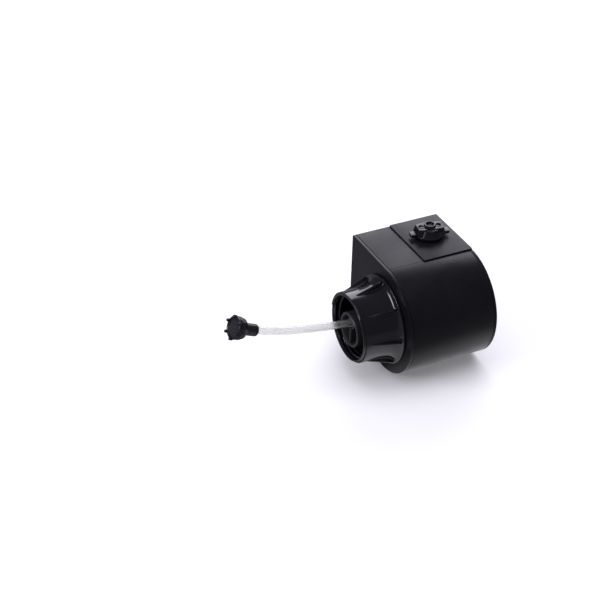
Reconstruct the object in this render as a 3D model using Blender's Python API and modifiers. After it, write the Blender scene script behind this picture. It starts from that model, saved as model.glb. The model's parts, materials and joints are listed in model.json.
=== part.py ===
"""Motorised pump head that screws onto a wide-mouth container.

Frame: metres, +X right, +Y towards the rear cover, +Z up. The origin is where the threaded
collar's axis meets the rear face. The collar, its insert and the suction tube point to -Y,
the adjustable nozzle points to +Z. All working dimensions below are millimetres.
"""

import math

import bmesh
import bpy
from mathutils import Matrix, Vector

MM = 0.001
GAP = 0.3  # clearance between separate pieces
OVERLAP = 0.5  # how far a boss or lip sinks into the wall it is joined to

# Shared places. A point on a Y axis is (x, z); on a Z axis it is (x, y).
DEPTH = 80.0  # front face to rear face
PANEL_BACK_Y = -DEPTH + 2.5
COVER_FRONT_Y = -2.5
STEM_R = 14.0  # pickup insert, where it passes through the front panel
PORT_Z = 4.0  # suction port
NOZZLE = (-30.3, -23.5)
BUTTON = (-34.0, 8.0)
BRACKET_BOSSES = ((-15.5, 12.0), (34.0, 13.0), (34.0, -19.0))
DOOR_X = (-56.0, -1.4)
DOOR_Y = (-69.3, -9.8)

for old in list(bpy.data.objects):
    bpy.data.objects.remove(old, do_unlink=True)

PARTS = bpy.data.collections.new("pump_head")
TOOLS = bpy.data.collections.new("pump_head_cutters")
bpy.context.scene.collection.children.link(PARTS)
bpy.context.scene.collection.children.link(TOOLS)
TOOLS.hide_render = True


# ---------------------------------------------------------------- materials
def material(name, colour, roughness, metallic=0.0):
    mat = bpy.data.materials.new(name)
    mat.use_nodes = True
    shader = mat.node_tree.nodes["Principled BSDF"]
    shader.inputs["Base Color"].default_value = (*colour, 1.0)
    shader.inputs["Roughness"].default_value = roughness
    shader.inputs["Metallic"].default_value = metallic
    mat.diffuse_color = (*colour, 1.0)
    return mat


SATIN = material("satin_black_plastic", colour=(0.018, 0.018, 0.02), roughness=0.42)
GLOSS = material("gloss_black_plastic", colour=(0.010, 0.010, 0.012), roughness=0.22)
STRAIN = material("dark_grey_plastic", colour=(0.03, 0.032, 0.036), roughness=0.45)
TUBE = material("milky_tube", colour=(0.72, 0.73, 0.74), roughness=0.35)
HOSE = material("clear_hose", colour=(0.62, 0.66, 0.66), roughness=0.3)
RUBBER = material("black_rubber", colour=(0.02, 0.02, 0.02), roughness=0.8)
NATURAL = material("natural_acetal", colour=(0.78, 0.77, 0.72), roughness=0.45)
STEEL = material("plated_steel", colour=(0.56, 0.56, 0.55), roughness=0.3, metallic=1.0)
CELL = material("cell_wrap", colour=(0.05, 0.16, 0.09), roughness=0.35)
COPPER = material("nickel_contact", colour=(0.68, 0.64, 0.55), roughness=0.28, metallic=1.0)
BOARD = material("circuit_board_green", colour=(0.02, 0.12, 0.05), roughness=0.5)
RED = material("lead_red", colour=(0.35, 0.02, 0.02), roughness=0.45)
BLACK = material("lead_black", colour=(0.02, 0.02, 0.02), roughness=0.45)
MESH = material("steel_mesh", colour=(0.4, 0.4, 0.4), roughness=0.35, metallic=1.0)


# ---------------------------------------------------------------- objects and placing
def add(name, mesh, mat):
    """A part in the parts collection, or a cutter when it has no material."""
    obj = bpy.data.objects.new(name, mesh)
    if mat is None:
        TOOLS.objects.link(obj)
        obj.hide_render = True
        obj.display_type = "WIRE"
    else:
        PARTS.objects.link(obj)
        mesh.materials.append(mat)
    return obj


def mesh_of(shape, name):
    """A mesh from a bmesh, which is freed."""
    bmesh.ops.recalc_face_normals(shape, faces=shape.faces)
    mesh = bpy.data.meshes.new(name)
    shape.to_mesh(mesh)
    shape.free()
    return mesh


def baked(name, data, matrix, modify=None):
    """The evaluated mesh of a temporary object, welded and in world space."""
    obj = bpy.data.objects.new(name, data)
    TOOLS.objects.link(obj)
    if modify:
        modify(obj)
    obj.matrix_world = matrix
    bpy.context.view_layer.update()
    graph = bpy.context.evaluated_depsgraph_get()
    mesh = bpy.data.meshes.new_from_object(obj.evaluated_get(graph))
    mesh.transform(obj.matrix_world)
    bpy.data.objects.remove(obj, do_unlink=True)
    if isinstance(data, bpy.types.Curve):
        bpy.data.curves.remove(data)
    shape = bmesh.new()
    shape.from_mesh(mesh)
    bmesh.ops.remove_doubles(shape, verts=shape.verts, dist=1e-7)
    mesh.materials.clear()
    bmesh.ops.recalc_face_normals(shape, faces=shape.faces)
    shape.to_mesh(mesh)
    shape.free()
    mesh.name = name
    return mesh


def axis_matrix(direction, origin):
    """Local +Z onto the direction, local origin onto the origin."""
    turn = Vector((0, 0, 1)).rotation_difference(Vector(direction).normalized())
    return Matrix.Translation(Vector(origin) * MM) @ turn.to_matrix().to_4x4()


def along(axis, at=(0, 0), height=0.0):
    """Local +Z onto the named axis through a point, this far along it."""
    if axis == "X":
        return axis_matrix((1, 0, 0), (height, *at))
    if axis == "Y":
        return axis_matrix((0, 1, 0), (at[0], height, at[1]))
    return axis_matrix((0, 0, 1), (*at, height))


def around(middle, half):
    return (middle - half, middle + half)


def boolean(obj, operation, others):
    for other in others:
        modifier = obj.modifiers.new(other.name, "BOOLEAN")
        modifier.operation = operation
        modifier.solver = "EXACT"
        modifier.object = other


def cut(obj, *others):
    boolean(obj, "DIFFERENCE", others)


def join(obj, *others):
    boolean(obj, "UNION", others)


# ---------------------------------------------------------------- solids
def box(name, x, y, z, mat=None, place=None):
    """A block between pairs of coordinates."""
    shape = bmesh.new()
    bmesh.ops.create_cube(shape, size=1.0)
    size = Vector((x[1] - x[0], y[1] - y[0], z[1] - z[0])) * MM
    middle = Vector((x[0] + x[1], y[0] + y[1], z[0] + z[1])) * MM / 2
    bmesh.ops.scale(shape, vec=size, verts=shape.verts)
    bmesh.ops.translate(shape, vec=middle, verts=shape.verts)
    if place is not None:
        shape.transform(place)
    return add(name, mesh_of(shape, name), mat)


def rod(name, radius, span, at, mat=None, axis="Y", sides=12, end_radius=None):
    """A cylinder or cone between two stations on an axis."""
    shape = bmesh.new()
    bmesh.ops.create_cone(
        shape,
        cap_ends=True,
        segments=sides,
        radius1=radius * MM,
        radius2=(radius if end_radius is None else end_radius) * MM,
        depth=(span[1] - span[0]) * MM,
    )
    shape.transform(along(axis, at, (span[0] + span[1]) / 2))
    return add(name, mesh_of(shape, name), mat)


def revolved_mesh(name, profile, place, steps, turns=1.0, pitch=0.0):
    """A closed (radius, height) outline turned about local Z, rising by the pitch."""
    count = len(profile)
    edges = [(i, (i + 1) % count) for i in range(count)]
    on_axis = [radius < 1e-6 for radius, _ in profile]
    edges = [(i, k) for i, k in edges if not (on_axis[i] and on_axis[k])]
    mesh = bpy.data.meshes.new(name)
    mesh.from_pydata([(radius * MM, 0.0, height * MM) for radius, height in profile], edges, [])

    def add_screw(obj):
        screw = obj.modifiers.new("Screw", "SCREW")
        screw.axis = "Z"
        screw.angle = 2 * math.pi * turns
        screw.screw_offset = pitch * turns * MM
        screw.steps = screw.render_steps = steps
        screw.use_merge_vertices = turns == 1.0
        screw.merge_threshold = 1e-6

    return baked(name, mesh, place, add_screw)


def turned(name, profile, mat=None, sides=40, place=None):
    """A closed (radius, height) outline turned fully, about the Y axis unless placed."""
    return add(name, revolved_mesh(name, profile, place or along("Y"), sides), mat)


def slab(name, outlines, span, mat=None, axis="Y"):
    """Flat outlines (the first is outer, the rest are holes) given a thickness."""
    curve = bpy.data.curves.new(name, "CURVE")
    curve.dimensions = "2D"
    curve.fill_mode = "BOTH"
    curve.extrude = (span[1] - span[0]) * MM / 2
    for outline in outlines:
        spline = curve.splines.new("POLY")
        spline.points.add(len(outline) - 1)
        for point, (across, up) in zip(spline.points, outline):
            point.co = (across * MM, up * MM, 0.0, 1.0)
        spline.use_cyclic_u = True
    middle = (span[0] + span[1]) / 2 * MM
    if axis == "Y":
        place = Matrix.Translation((0, middle, 0)) @ Matrix.Rotation(math.pi / 2, 4, "X")
    else:
        place = Matrix.Translation((0, 0, middle))
    return add(name, baked(name, curve, place), mat)


def swept(name, path, radius, mat=None, resolution=2):
    """A solid round wire along a path."""
    curve = bpy.data.curves.new(name, "CURVE")
    curve.dimensions = "3D"
    curve.bevel_depth = radius * MM
    curve.bevel_resolution = resolution
    curve.use_fill_caps = True
    spline = curve.splines.new("POLY")
    spline.points.add(len(path) - 1)
    for point, at in zip(spline.points, path):
        point.co = (*(Vector(at) * MM), 1.0)
    return add(name, baked(name, curve, Matrix.Identity(4)), mat)


def pipe(name, path, radius, bore, mat, bore_resolution=2):
    """A swept tube whose bore runs 2 mm past both ends."""
    tube = swept(name, path, radius, mat)
    first = path[0] + (path[0] - path[1]).normalized() * 2.0
    last = path[-1] + (path[-1] - path[-2]).normalized() * 2.0
    cut(tube, swept(f"{name}_bore", [first, *path, last], bore, resolution=bore_resolution))


def add_prism(shape, start, end):
    """Skin two matching rings of points."""
    rings = [[shape.verts.new(Vector(point) * MM) for point in ring] for ring in (start, end)]
    shape.faces.new(rings[0])
    shape.faces.new(rings[1][::-1])
    for i in range(len(start)):
        k = (i + 1) % len(start)
        shape.faces.new((rings[0][i], rings[0][k], rings[1][k], rings[1][i]))


def screw(kind, i, at, shank, head, head_sides=12):
    """A screw along Y; shank and head are each (radius, span)."""
    obj = rod(f"{kind}_screw_{i + 1}", *shank, at, STEEL, sides=8)
    join(obj, rod(f"{kind}_screw_head_{i}", *head, at, sides=head_sides))
    return obj


def barb(name, at, root_y, tip_y):
    """A hose barb along Y, with one ridge near its tip."""
    step = 1 if tip_y > root_y else -1
    profile = [
        (0, root_y), (2.2, root_y), (2.2, tip_y - step * 3.0),
        (2.7, tip_y - step * 2.8), (2.0, tip_y), (0, tip_y),
    ]
    return turned(name, profile, sides=14, place=along("Y", at))


# ---------------------------------------------------------------- outlines and paths
def arc(radius, at, start, sweep, steps):
    """Points on an arc, both ends included."""
    angles = [start + sweep * k / steps for k in range(steps + 1)]
    return [(at[0] + radius * math.cos(a), at[1] + radius * math.sin(a)) for a in angles]


def circle(radius, at, sides=20):
    return arc(radius, at, 0.0, 2 * math.pi, sides)[:-1]


def stadium(radius, low, high):
    """Two equal circles, one above the other, joined by tangents."""
    return arc(radius, high, 0.0, math.pi, 8) + arc(radius, low, math.pi, math.pi, 8)


def gear_outline(module, teeth, centre, backlash, phase, addendum=0.85, dedendum=1.25):
    """Involute teeth, 20 degrees; phase is the direction of one tooth's middle."""
    pitch = module * teeth / 2
    base = pitch * math.cos(math.radians(20))
    half = math.pi / (2 * teeth) - backlash / (2 * pitch)

    def involute(radius):
        if radius <= base:
            return 0.0
        angle = math.acos(base / radius)
        return math.tan(angle) - angle

    radii = (pitch - dedendum * module, pitch, pitch + addendum * module)
    flank = [(radius, half + involute(pitch) - involute(radius)) for radius in radii]
    polar = []
    for i in range(teeth):
        middle = phase + 2 * math.pi * i / teeth
        polar += [(radius, middle - offset) for radius, offset in flank]
        polar += [(radius, middle + offset) for radius, offset in reversed(flank)]
    return [
        (centre[0] + radius * math.cos(angle), centre[1] + radius * math.sin(angle))
        for radius, angle in polar
    ]


def smooth_path(points, steps):
    """Catmull-Rom points through the given ones."""
    knots = [Vector(p) for p in points]
    knots = [2 * knots[0] - knots[1]] + knots + [2 * knots[-1] - knots[-2]]
    path = []
    for i in range(1, len(knots) - 2):
        before, start, end, after = knots[i - 1 : i + 3]
        for k in range(steps):
            t = k / steps
            linear = (end - before) * t
            square = (2 * before - 5 * start + 4 * end - after) * t * t
            cube = (3 * start - before - 3 * end + after) * t**3
            path.append(0.5 * (2 * start + linear + square + cube))
    return path + [knots[-2]]


# ---------------------------------------------------------------- housing
# A D-shaped section, flat on the left, half round on the right.
FLAT_X = 59.5  # collar axis to the flat left side
ROUND_R = 47.0  # half height, and radius of the round side
CORNER_R = 1.2
WALL = 2.5
LIP_T = 1.5
COVER_LIP_Y = -5.3  # front of the rear cover's lip and pillar bosses
PILLARS = ((-52.0, 39.0), (-52.0, -22.0), (26.0, 31.0), (26.0, -31.0))
PILLAR_R = 3.5
PILLAR_BORE_R = 1.6
BOARD_POSTS = ((-45.0, -12.0), (-24.0, 28.0))
PLATE_X = (-58.8, 1.2)
PLATE_Y = (-45.7, -0.3)
PLATE_Z = (ROUND_R + GAP, ROUND_R + 1.2)
PEGS = ((-50.0, -38.0), (-9.0, -8.0))
PEG_R = 1.5
STEM_HOLE_R = 6.0


def d_outline(inset):
    """The housing's section drawn this far inside its outer face."""
    radius = ROUND_R - inset
    corner = max(CORNER_R - inset, 0.3)
    corner_x = -FLAT_X + inset + corner
    quarter = math.pi / 2
    return (
        arc(corner, (corner_x, -radius + corner), math.pi, quarter, 2)
        + arc(radius, (0, 0), -quarter, math.pi, 24)
        + arc(corner, (corner_x, radius - corner), quarter, quarter, 2)
    )


def lip(name, span):
    """A rim that fits inside the shell's wall."""
    inset = WALL + GAP
    return slab(name, [d_outline(inset), d_outline(inset + LIP_T)], span)


def build_front_panel():
    outlines = [d_outline(0), circle(STEM_R + GAP, (0, 0), 28)]
    panel = slab("front_panel", outlines, (-DEPTH, PANEL_BACK_Y), SATIN)
    root_y = PANEL_BACK_Y - OVERLAP
    join(panel, lip("panel_lip", (root_y, -74.5)))
    for i, at in enumerate(PILLARS):
        join(panel, rod(f"panel_pillar_{i}", PILLAR_R, (root_y, COVER_LIP_Y - GAP), at))
        cut(panel, rod(f"panel_pillar_bore_{i}", PILLAR_BORE_R, (-18.0, -5.0), at, sides=10))


def build_shell():
    span = (PANEL_BACK_Y + GAP, COVER_FRONT_Y - GAP)
    shell = slab("main_shell", [d_outline(0), d_outline(WALL)], span, SATIN)
    through_top = (43.0, 49.0)
    cut(
        shell,
        box("door_opening", DOOR_X, DOOR_Y, (-48.0, -43.0)),
        rod("stem_hole", STEM_HOLE_R, through_top, NOZZLE, axis="Z", sides=24),
    )
    for i, at in enumerate(PEGS):
        cut(shell, rod(f"peg_hole_{i + 1}", PEG_R + GAP, through_top, at, axis="Z"))


def build_rear_cover():
    cover = slab("rear_cover", [d_outline(0)], (COVER_FRONT_Y, 0.0), SATIN)
    root_y = COVER_FRONT_Y + OVERLAP
    join(cover, lip("cover_lip", (COVER_LIP_Y, root_y)))
    for i, at in enumerate(PILLARS):
        join(cover, rod(f"cover_boss_{i}", PILLAR_R, (COVER_LIP_Y, root_y), at))
        cut(
            cover,
            rod(f"cover_bore_{i}", PILLAR_BORE_R, (-6.0, 1.0), at, sides=10),
            rod(f"cover_counterbore_{i}", 3.1, (-2.2, 1.0), at, sides=14),
        )
    for i, at in enumerate(BRACKET_BOSSES):
        join(cover, rod(f"bracket_boss_{i}", 3.0, (-10.7, root_y), at))
        cut(cover, rod(f"bracket_boss_bore_{i}", 1.4, (-12.0, -4.5), at, sides=8))
    for i, at in enumerate(BOARD_POSTS):
        join(cover, rod(f"board_post_{i}", 2.0, (-8.5, root_y), at, sides=10))
    cut(cover, rod("button_hole", 6.3, (-4.0, 1.0), BUTTON, sides=24))


def build_rear_screws():
    shank = (1.3, (-16.0, -1.5))
    head = (2.8, (-2.0, -0.2))
    slot_depth = (-0.9, 0.5)
    for i, (x, z) in enumerate(PILLARS):
        obj = screw("rear", i, (x, z), shank, head, head_sides=14)
        # Two slots make the cross recess.
        for letter, half_x, half_z in (("a", 1.7, 0.35), ("b", 0.35, 1.7)):
            name = f"rear_screw_slot_{letter}{i}"
            cut(obj, box(name, around(x, half_x), slot_depth, around(z, half_z)))


def build_nozzle_plate():
    plate = box("nozzle_plate", PLATE_X, PLATE_Y, PLATE_Z, SATIN)
    for i, at in enumerate(PEGS):
        join(plate, rod(f"peg_{i + 1}", PEG_R, (43.5, 48.0), at, axis="Z"))
    cut(plate, rod("plate_hole", STEM_HOLE_R, (42.0, 52.0), NOZZLE, axis="Z", sides=24))


# ---------------------------------------------------------------- collar and insert
# Threaded collar for a 53 mm container neck.
COLLAR_LIP_Y = -113.5
COLLAR_SHOULDER_Y = -111.3
COLLAR_BASE_Y = -DEPTH - GAP
COLLAR_R = 30.1
FLANGE_R = 38.0
THREAD_CREST_R = 25.3
THREAD_ROOT_R = 26.6
THREAD_PITCH = 4.23
THREAD_TURNS = 1.5
THREAD_START_Y = -109.0
GUSSETS = 8
GUSSET_HALF_T = 0.9
# Pickup insert: a stem, a wide seat and an off-centre cup on the seat's front.
SEAT_R = 25.0
INSERT_BACK_Y = -71.0
BOSS_R = 15.1
BOSS_Y = -112.0
CUP_Z = -2.3
TUBE_R = 3.175  # quarter-inch suction tube

# (radius, y) round the collar's section.
COLLAR_PROFILE = (
    (STEM_R + GAP, COLLAR_BASE_Y), (FLANGE_R, COLLAR_BASE_Y), (FLANGE_R, -82.2),
    (36.2, -82.9), (34.0, -84.4), (32.4, -87.2), (31.4, -91.5), (COLLAR_R + 0.5, -97.0),
    (COLLAR_R, COLLAR_SHOULDER_Y), (28.7, COLLAR_SHOULDER_Y), (28.6, COLLAR_LIP_Y),
    (27.2, COLLAR_LIP_Y), (THREAD_ROOT_R, -111.5), (THREAD_ROOT_R, -83.3),
    (STEM_R + GAP, -83.3),
)
# (radius, y) round one gusset.
GUSSET_OUTLINE = ((29.4, -106.5), (30.9, -106.5), (37.2, -84.6), (37.2, -81.0), (29.4, -81.0))
# (radius, offset along the axis) round the thread's trapezoid section.
THREAD_SECTION = ((THREAD_CREST_R, -0.5), (THREAD_CREST_R, 0.5), (27.3, 1.3), (27.3, -1.3))
# (radius, y) of the insert's stem and seat.
INSERT_PROFILE = (
    (0, INSERT_BACK_Y), (STEM_R, INSERT_BACK_Y), (STEM_R, -83.6),
    (SEAT_R, -83.6), (SEAT_R, -86.1), (0, -86.1),
)


def gussets():
    shape = bmesh.new()
    for i in range(GUSSETS):
        angle = 2 * math.pi * i / GUSSETS
        out = Vector((math.cos(angle), 0, math.sin(angle)))
        side = Vector((-math.sin(angle), 0, math.cos(angle)))
        faces = [
            [out * radius + side * offset + Vector((0, y, 0)) for radius, y in GUSSET_OUTLINE]
            for offset in (-GUSSET_HALF_T, GUSSET_HALF_T)
        ]
        add_prism(shape, *faces)
    return add("gussets", mesh_of(shape, "gussets"), None)


def thread_ridge():
    """The internal thread, with its two open ends filled."""
    name = "thread_ridge"
    place = along("Y", height=THREAD_START_Y)
    steps = int(20 * THREAD_TURNS)
    mesh = revolved_mesh(name, THREAD_SECTION, place, steps, THREAD_TURNS, THREAD_PITCH)
    shape = bmesh.new()
    shape.from_mesh(mesh)
    bmesh.ops.holes_fill(shape, edges=[e for e in shape.edges if e.is_boundary], sides=4)
    return add(name, mesh_of(shape, name), None)


def build_collar():
    collar = turned("collar", COLLAR_PROFILE, GLOSS)
    join(collar, gussets(), thread_ridge())


def build_insert():
    insert = turned("pickup_insert", INSERT_PROFILE, GLOSS, sides=28)
    cup = (0, CUP_Z)
    port = (0, PORT_Z)
    join(insert, rod("cup_boss", BOSS_R, (BOSS_Y, -84.5), cup, sides=28))
    hollow = (BOSS_Y - 0.5, BOSS_Y + 8.0)
    cut(insert, rod("cup_hollow", 12.6, hollow, cup, sides=28, end_radius=12.2))
    join(
        insert,
        rod("port_sleeve", 5.2, (-110.5, -99.0), port, sides=20),
        box("cup_spoke", (-0.7, 0.7), (-111.0, -99.0), (-15.6, 1.0)),
        barb("insert_barb", port, -72.0, -62.0),
    )
    slot_y, slot_z = (-105.0, -76.0), (-10.5, -4.0)
    cut(
        insert,
        rod("port_bore", TUBE_R + GAP, (-113.0, -96.0), port, sides=20),
        rod("port_passage", 1.4, (-97.0, -60.0), port),
        box("vent_slot_1", (-5.4, -2.9), slot_y, slot_z),
        box("vent_slot_2", (2.9, 5.4), slot_y, slot_z),
    )


def build_insert_rings():
    """The nut behind the front panel and the gasket on the front of the seat."""
    bore = STEM_R + GAP
    nut = [(bore, -77.2), (19.5, -77.2), (19.5, -72.6), (bore, -72.6)]
    turned("insert_nut", nut, SATIN, sides=24)
    gasket = [(18.2, -88.0), (18.2, -86.4), (24.6, -86.4), (24.6, -88.0)]
    turned("neck_gasket", gasket, RUBBER, sides=28)


# ---------------------------------------------------------------- suction tube and foot
TUBE_BORE_R = 2.1
TUBE_STRAIGHT_Y = (-96.5, -103.0, -110.0)
TUBE_CURVE_Y = -112.0  # first station of the curved part
TUBE_END_Y = -198.2
TUBE_STEPS = 12
TUBE_BEND = Vector((-0.28, 0.0, 0.96))
TUBE_SWAY = Vector((0.69, -0.46, 0.56))


def tube_point(y):
    """Centre of the curved part of the tube at this station."""
    s = (-y - 110.0) / 100.0
    bend = 11.3 * s - 3.5 * s * s + 14.2 * s**3
    sway = 7.1 * (s / 0.9) ** 3
    return Vector((0, y, PORT_Z + 0.2)) + TUBE_BEND * bend + TUBE_SWAY * sway


FOOT_AXIS = (tube_point(TUBE_END_Y - 1.0) - tube_point(TUBE_END_Y)).normalized()
FOOT = tube_point(TUBE_END_Y) - FOOT_AXIS * 4.2
FOOT_PLACE = axis_matrix(FOOT_AXIS, FOOT)
BALL = FOOT + FOOT_AXIS * 10.5
BALL_R = 2.4
GRILLE_LUGS = 6
GRILLE_BARS = 3
GRILLE_ANGLE = 52  # degrees, direction of the first lug

# (radius, distance from FOOT along FOOT_AXIS) round each turned piece.
STRAINER_PROFILE = (
    (TUBE_R + GAP + 0.45, -2.2), (4.6, -2.2), (5.0, -1.6), (5.0, 8.4), (6.6, 9.4),
    (8.3, 11.1), (9.2, 13.0), (9.5, 15.2), (9.5, 17.4), (8.2, 17.4), (8.2, 13.4),
    (7.2, 12.2), (2.9, 12.2), (2.9, 7.0), (1.6, 6.9), (1.6, 6.0),
    (TUBE_R + GAP, 6.0), (TUBE_R + GAP, -0.2),
)
SEAT_PROFILE = ((2.0, 12.5), (6.9, 12.5), (6.9, 14.0), (1.5, 14.0), (1.5, 13.2))
SCREEN_PROFILE = ((0, 14.4), (7.9, 14.4), (7.9, 14.9), (0, 14.9))
GRILLE_PROFILE = ((6.8, 15.2), (7.9, 15.2), (7.9, 17.7), (9.5, 17.7), (9.5, 19.8), (6.8, 19.8))


def build_suction_tube():
    path = [Vector((0, y, PORT_Z)) for y in TUBE_STRAIGHT_Y]
    for k in range(TUBE_STEPS + 1):
        path.append(tube_point(TUBE_CURVE_Y + k * (TUBE_END_Y - TUBE_CURVE_Y) / TUBE_STEPS))
    path.append(path[-1] + FOOT_AXIS * 1.5)
    pipe("suction_tube", path, TUBE_R, TUBE_BORE_R, TUBE, bore_resolution=1)


def build_strainer():
    turned("strainer_body", STRAINER_PROFILE, STRAIN, sides=20, place=FOOT_PLACE)
    turned("valve_seat", SEAT_PROFILE, NATURAL, sides=16, place=FOOT_PLACE)
    turned("strainer_screen", SCREEN_PROFILE, MESH, sides=16, place=FOOT_PLACE)


def build_check_ball():
    shape = bmesh.new()
    bmesh.ops.create_uvsphere(shape, u_segments=14, v_segments=9, radius=BALL_R * MM)
    shape.transform(Matrix.Translation(BALL * MM))
    add("check_ball", mesh_of(shape, "check_ball"), STEEL)


def build_grille():
    """A ring with lugs round its end and crossing bars, each deeper than the last."""
    grille = turned("strainer_grille", GRILLE_PROFILE, STRAIN, sides=24, place=FOOT_PLACE)
    for i in range(GRILLE_LUGS):
        angle = 2 * math.pi * i / GRILLE_LUGS + math.radians(GRILLE_ANGLE)
        place = FOOT_PLACE @ Matrix.Rotation(angle, 4, "Z")
        x, y, z = around(9.0, 1.0), around(0, 1.2), around(20.1, 1.55)
        join(grille, box(f"grille_lug_{i}", x, y, z, place=place))
        if i < GRILLE_BARS:
            x, y, z = around(0, 7.0), around(0, 0.6), around(18.4, 0.75 + 0.15 * i)
            join(grille, box(f"grille_bar_{i}", x, y, z, place=place))


# ---------------------------------------------------------------- nozzle
ON_NOZZLE = along("Z", NOZZLE)
STEM_TOP_Z = 54.7
CORE_Z = STEM_TOP_Z + GAP
CAP_BASE = 50.0
CAP_R = 12.2
CAP_TOP = 60.0
LUG_R = 17.0
LUG_ANGLE = math.radians(80.0)
DIMPLE_OFFSET = 7.6

# (radius, z) round each turned piece.
STEM_PROFILE = (
    (1.3, 29.0), (2.1, 29.0), (2.6, 31.0), (2.2, 31.1), (2.2, 37.0), (5.7, 37.0),
    (5.7, 48.5), (8.2, 48.5), (8.2, 49.7), (5.0, 49.7), (5.0, STEM_TOP_Z), (1.3, STEM_TOP_Z),
)
CORE_PROFILE = ((0, CORE_Z), (2.1, CORE_Z), (2.1, 56.2), (1.2, 56.7), (0, 56.7))
CAP_PROFILE = (
    (0, CAP_BASE), (CAP_R, CAP_BASE), (CAP_R, 51.6), (11.3, 52.3), (8.6, 57.2),
    (4.8, 57.7), (4.7, CAP_TOP), (0, CAP_TOP),
)
# Tapered blocks across the cap: name, then (half length, half width, z) at foot and top.
CAP_BLOCKS = (
    ("cap_bar", (12.4, 7.6, 51.9), (11.2, 6.0, 58.1)),
    ("cap_lug_a", (LUG_R, 3.6, 50.3), (LUG_R - 0.3, 3.3, 52.9)),
)
# Round cuts in the cap: name, radius, z span, sides.
CAP_CUTS = (
    ("cap_pocket", 7.2, (49.0, 52.0), 20),
    ("cap_bore", 5.3, (51.0, CORE_Z), 20),
    ("cap_core_pocket", 2.4, (54.0, 57.0), 16),
    ("cap_orifice", 0.8, (56.0, 61.0), 10),
    ("cap_recess", 3.3, (58.0, 61.0), 20),
)


def build_nozzle_stem():
    turned("nozzle_stem", STEM_PROFILE, GLOSS, sides=18, place=ON_NOZZLE)
    outlines = [circle(9.6, NOZZLE, 6), circle(6.0, NOZZLE)]
    slab("nozzle_nut", outlines, (41.2, 44.2), SATIN, axis="Z")
    turned("nozzle_o_ring", circle(0.75, (6.1, 50.8), 6), RUBBER, sides=16, place=ON_NOZZLE)
    turned("swirl_core", CORE_PROFILE, NATURAL, sides=16, place=ON_NOZZLE)


def cap_block(name, foot, top):
    shape = bmesh.new()
    corners = ((-1, -1), (1, -1), (1, 1), (-1, 1))
    rings = [[(i * x, k * y, z) for i, k in corners] for x, y, z in (foot, top)]
    add_prism(shape, *rings)
    shape.transform(
        Matrix.Translation(Vector((*NOZZLE, 0)) * MM) @ Matrix.Rotation(LUG_ANGLE, 4, "Z")
    )
    return add(name, mesh_of(shape, name), None)


def build_nozzle_cap():
    cap = turned("nozzle_cap", CAP_PROFILE, GLOSS, sides=28, place=ON_NOZZLE)
    for block in CAP_BLOCKS:
        join(cap, cap_block(*block))
    for name, radius, span, sides in CAP_CUTS:
        cut(cap, rod(name, radius, span, NOZZLE, axis="Z", sides=sides))
    for i, offset in enumerate((-DIMPLE_OFFSET, DIMPLE_OFFSET)):
        at = (
            NOZZLE[0] + math.cos(LUG_ANGLE) * offset,
            NOZZLE[1] + math.sin(LUG_ANGLE) * offset,
        )
        name = f"cap_dimple_{i}"
        cut(cap, rod(name, 2.2, (56.6, 61.0), at, axis="Z", sides=14, end_radius=2.4))


# ---------------------------------------------------------------- batteries
# Four AA cells lying along X, side by side above the bottom door.
CELL_R = 7.1
CELL_PITCH = 14.5
CELL_Z = -36.9
CELL_X = (-54.0, -3.5)
CELL_Y = [-61.3 + CELL_PITCH * i for i in range(4)]
DOOR_Z = (-46.8, -44.8)
CONTACT_T = 0.4
LEFT_CONTACT_X = -55.6
RIGHT_CONTACT_X = -1.9
# Name, x of its outer face, direction towards the cells, the cells it touches, has a tail.
CONTACTS = (
    ("contact_bridge_1", LEFT_CONTACT_X, 1, CELL_Y[0:2], False),
    ("contact_bridge_2", LEFT_CONTACT_X, 1, CELL_Y[2:4], False),
    ("contact_positive", RIGHT_CONTACT_X, -1, CELL_Y[0:1], True),
    ("contact_bridge_3", RIGHT_CONTACT_X, -1, CELL_Y[1:3], False),
    ("contact_negative", RIGHT_CONTACT_X, -1, CELL_Y[3:4], True),
)


def build_battery_door():
    x, y = ((low + GAP, high - GAP) for low, high in (DOOR_X, DOOR_Y))
    door = box("battery_door", x, y, DOOR_Z, SATIN)
    cut(door, box("door_thumb_recess", (-34.0, -24.0), (-66.0, -62.0), (-48.0, -46.0)))


def build_battery_tray():
    """An open-bottomed tray with slots for the tails of the end contacts."""
    tray = box("battery_tray", (-56.7, -0.7), (-70.4, -8.7), (-44.2, -28.2), SATIN)
    slot_x, slot_z = (-2.6, -1.4), (-30.0, -27.0)
    cut(
        tray,
        box("tray_cavity", (-55.9, -1.5), DOOR_Y, (-46.0, -29.4)),
        box("tray_slot_positive", slot_x, (-64.0, -58.6), slot_z),
        box("tray_slot_negative", slot_x, (-20.4, -15.2), slot_z),
    )


def build_cells():
    """The cells alternate, the first with its nub to the left."""
    left, right = CELL_X
    for i, y in enumerate(CELL_Y):
        if i % 2:
            body, nub = (left, right - 1.0), (right - 1.5, right)
        else:
            body, nub = (left + 1.0, right), (left, left + 1.5)
        at = (y, CELL_Z)
        cell = rod(f"battery_cell_{i + 1}", CELL_R, body, at, CELL, axis="X", sides=20)
        join(cell, rod(f"cell_nub_{i}", 2.7, nub, at, axis="X", sides=10))


def build_contact(name, x, direction, cells, tail):
    """A pressed strip with one dimple for each cell end; a tail passes up the tray."""
    strip_x = sorted((x, x + direction * CONTACT_T))
    strip = box(name, strip_x, (min(cells) - 3.2, max(cells) + 3.2), (-41.5, -32.0), COPPER)
    span = sorted((x + direction * 0.2, x + direction * 1.1))
    start, end = (2.4, 1.4)[::direction]
    for i, y in enumerate(cells):
        dimple = f"{name}_dimple_{i}"
        join(strip, rod(dimple, start, span, (y, CELL_Z), axis="X", sides=8, end_radius=end))
    if tail:
        join(strip, box(f"{name}_tail", strip_x, around(cells[0], 2.0), (-33.0, -23.5)))


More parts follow.
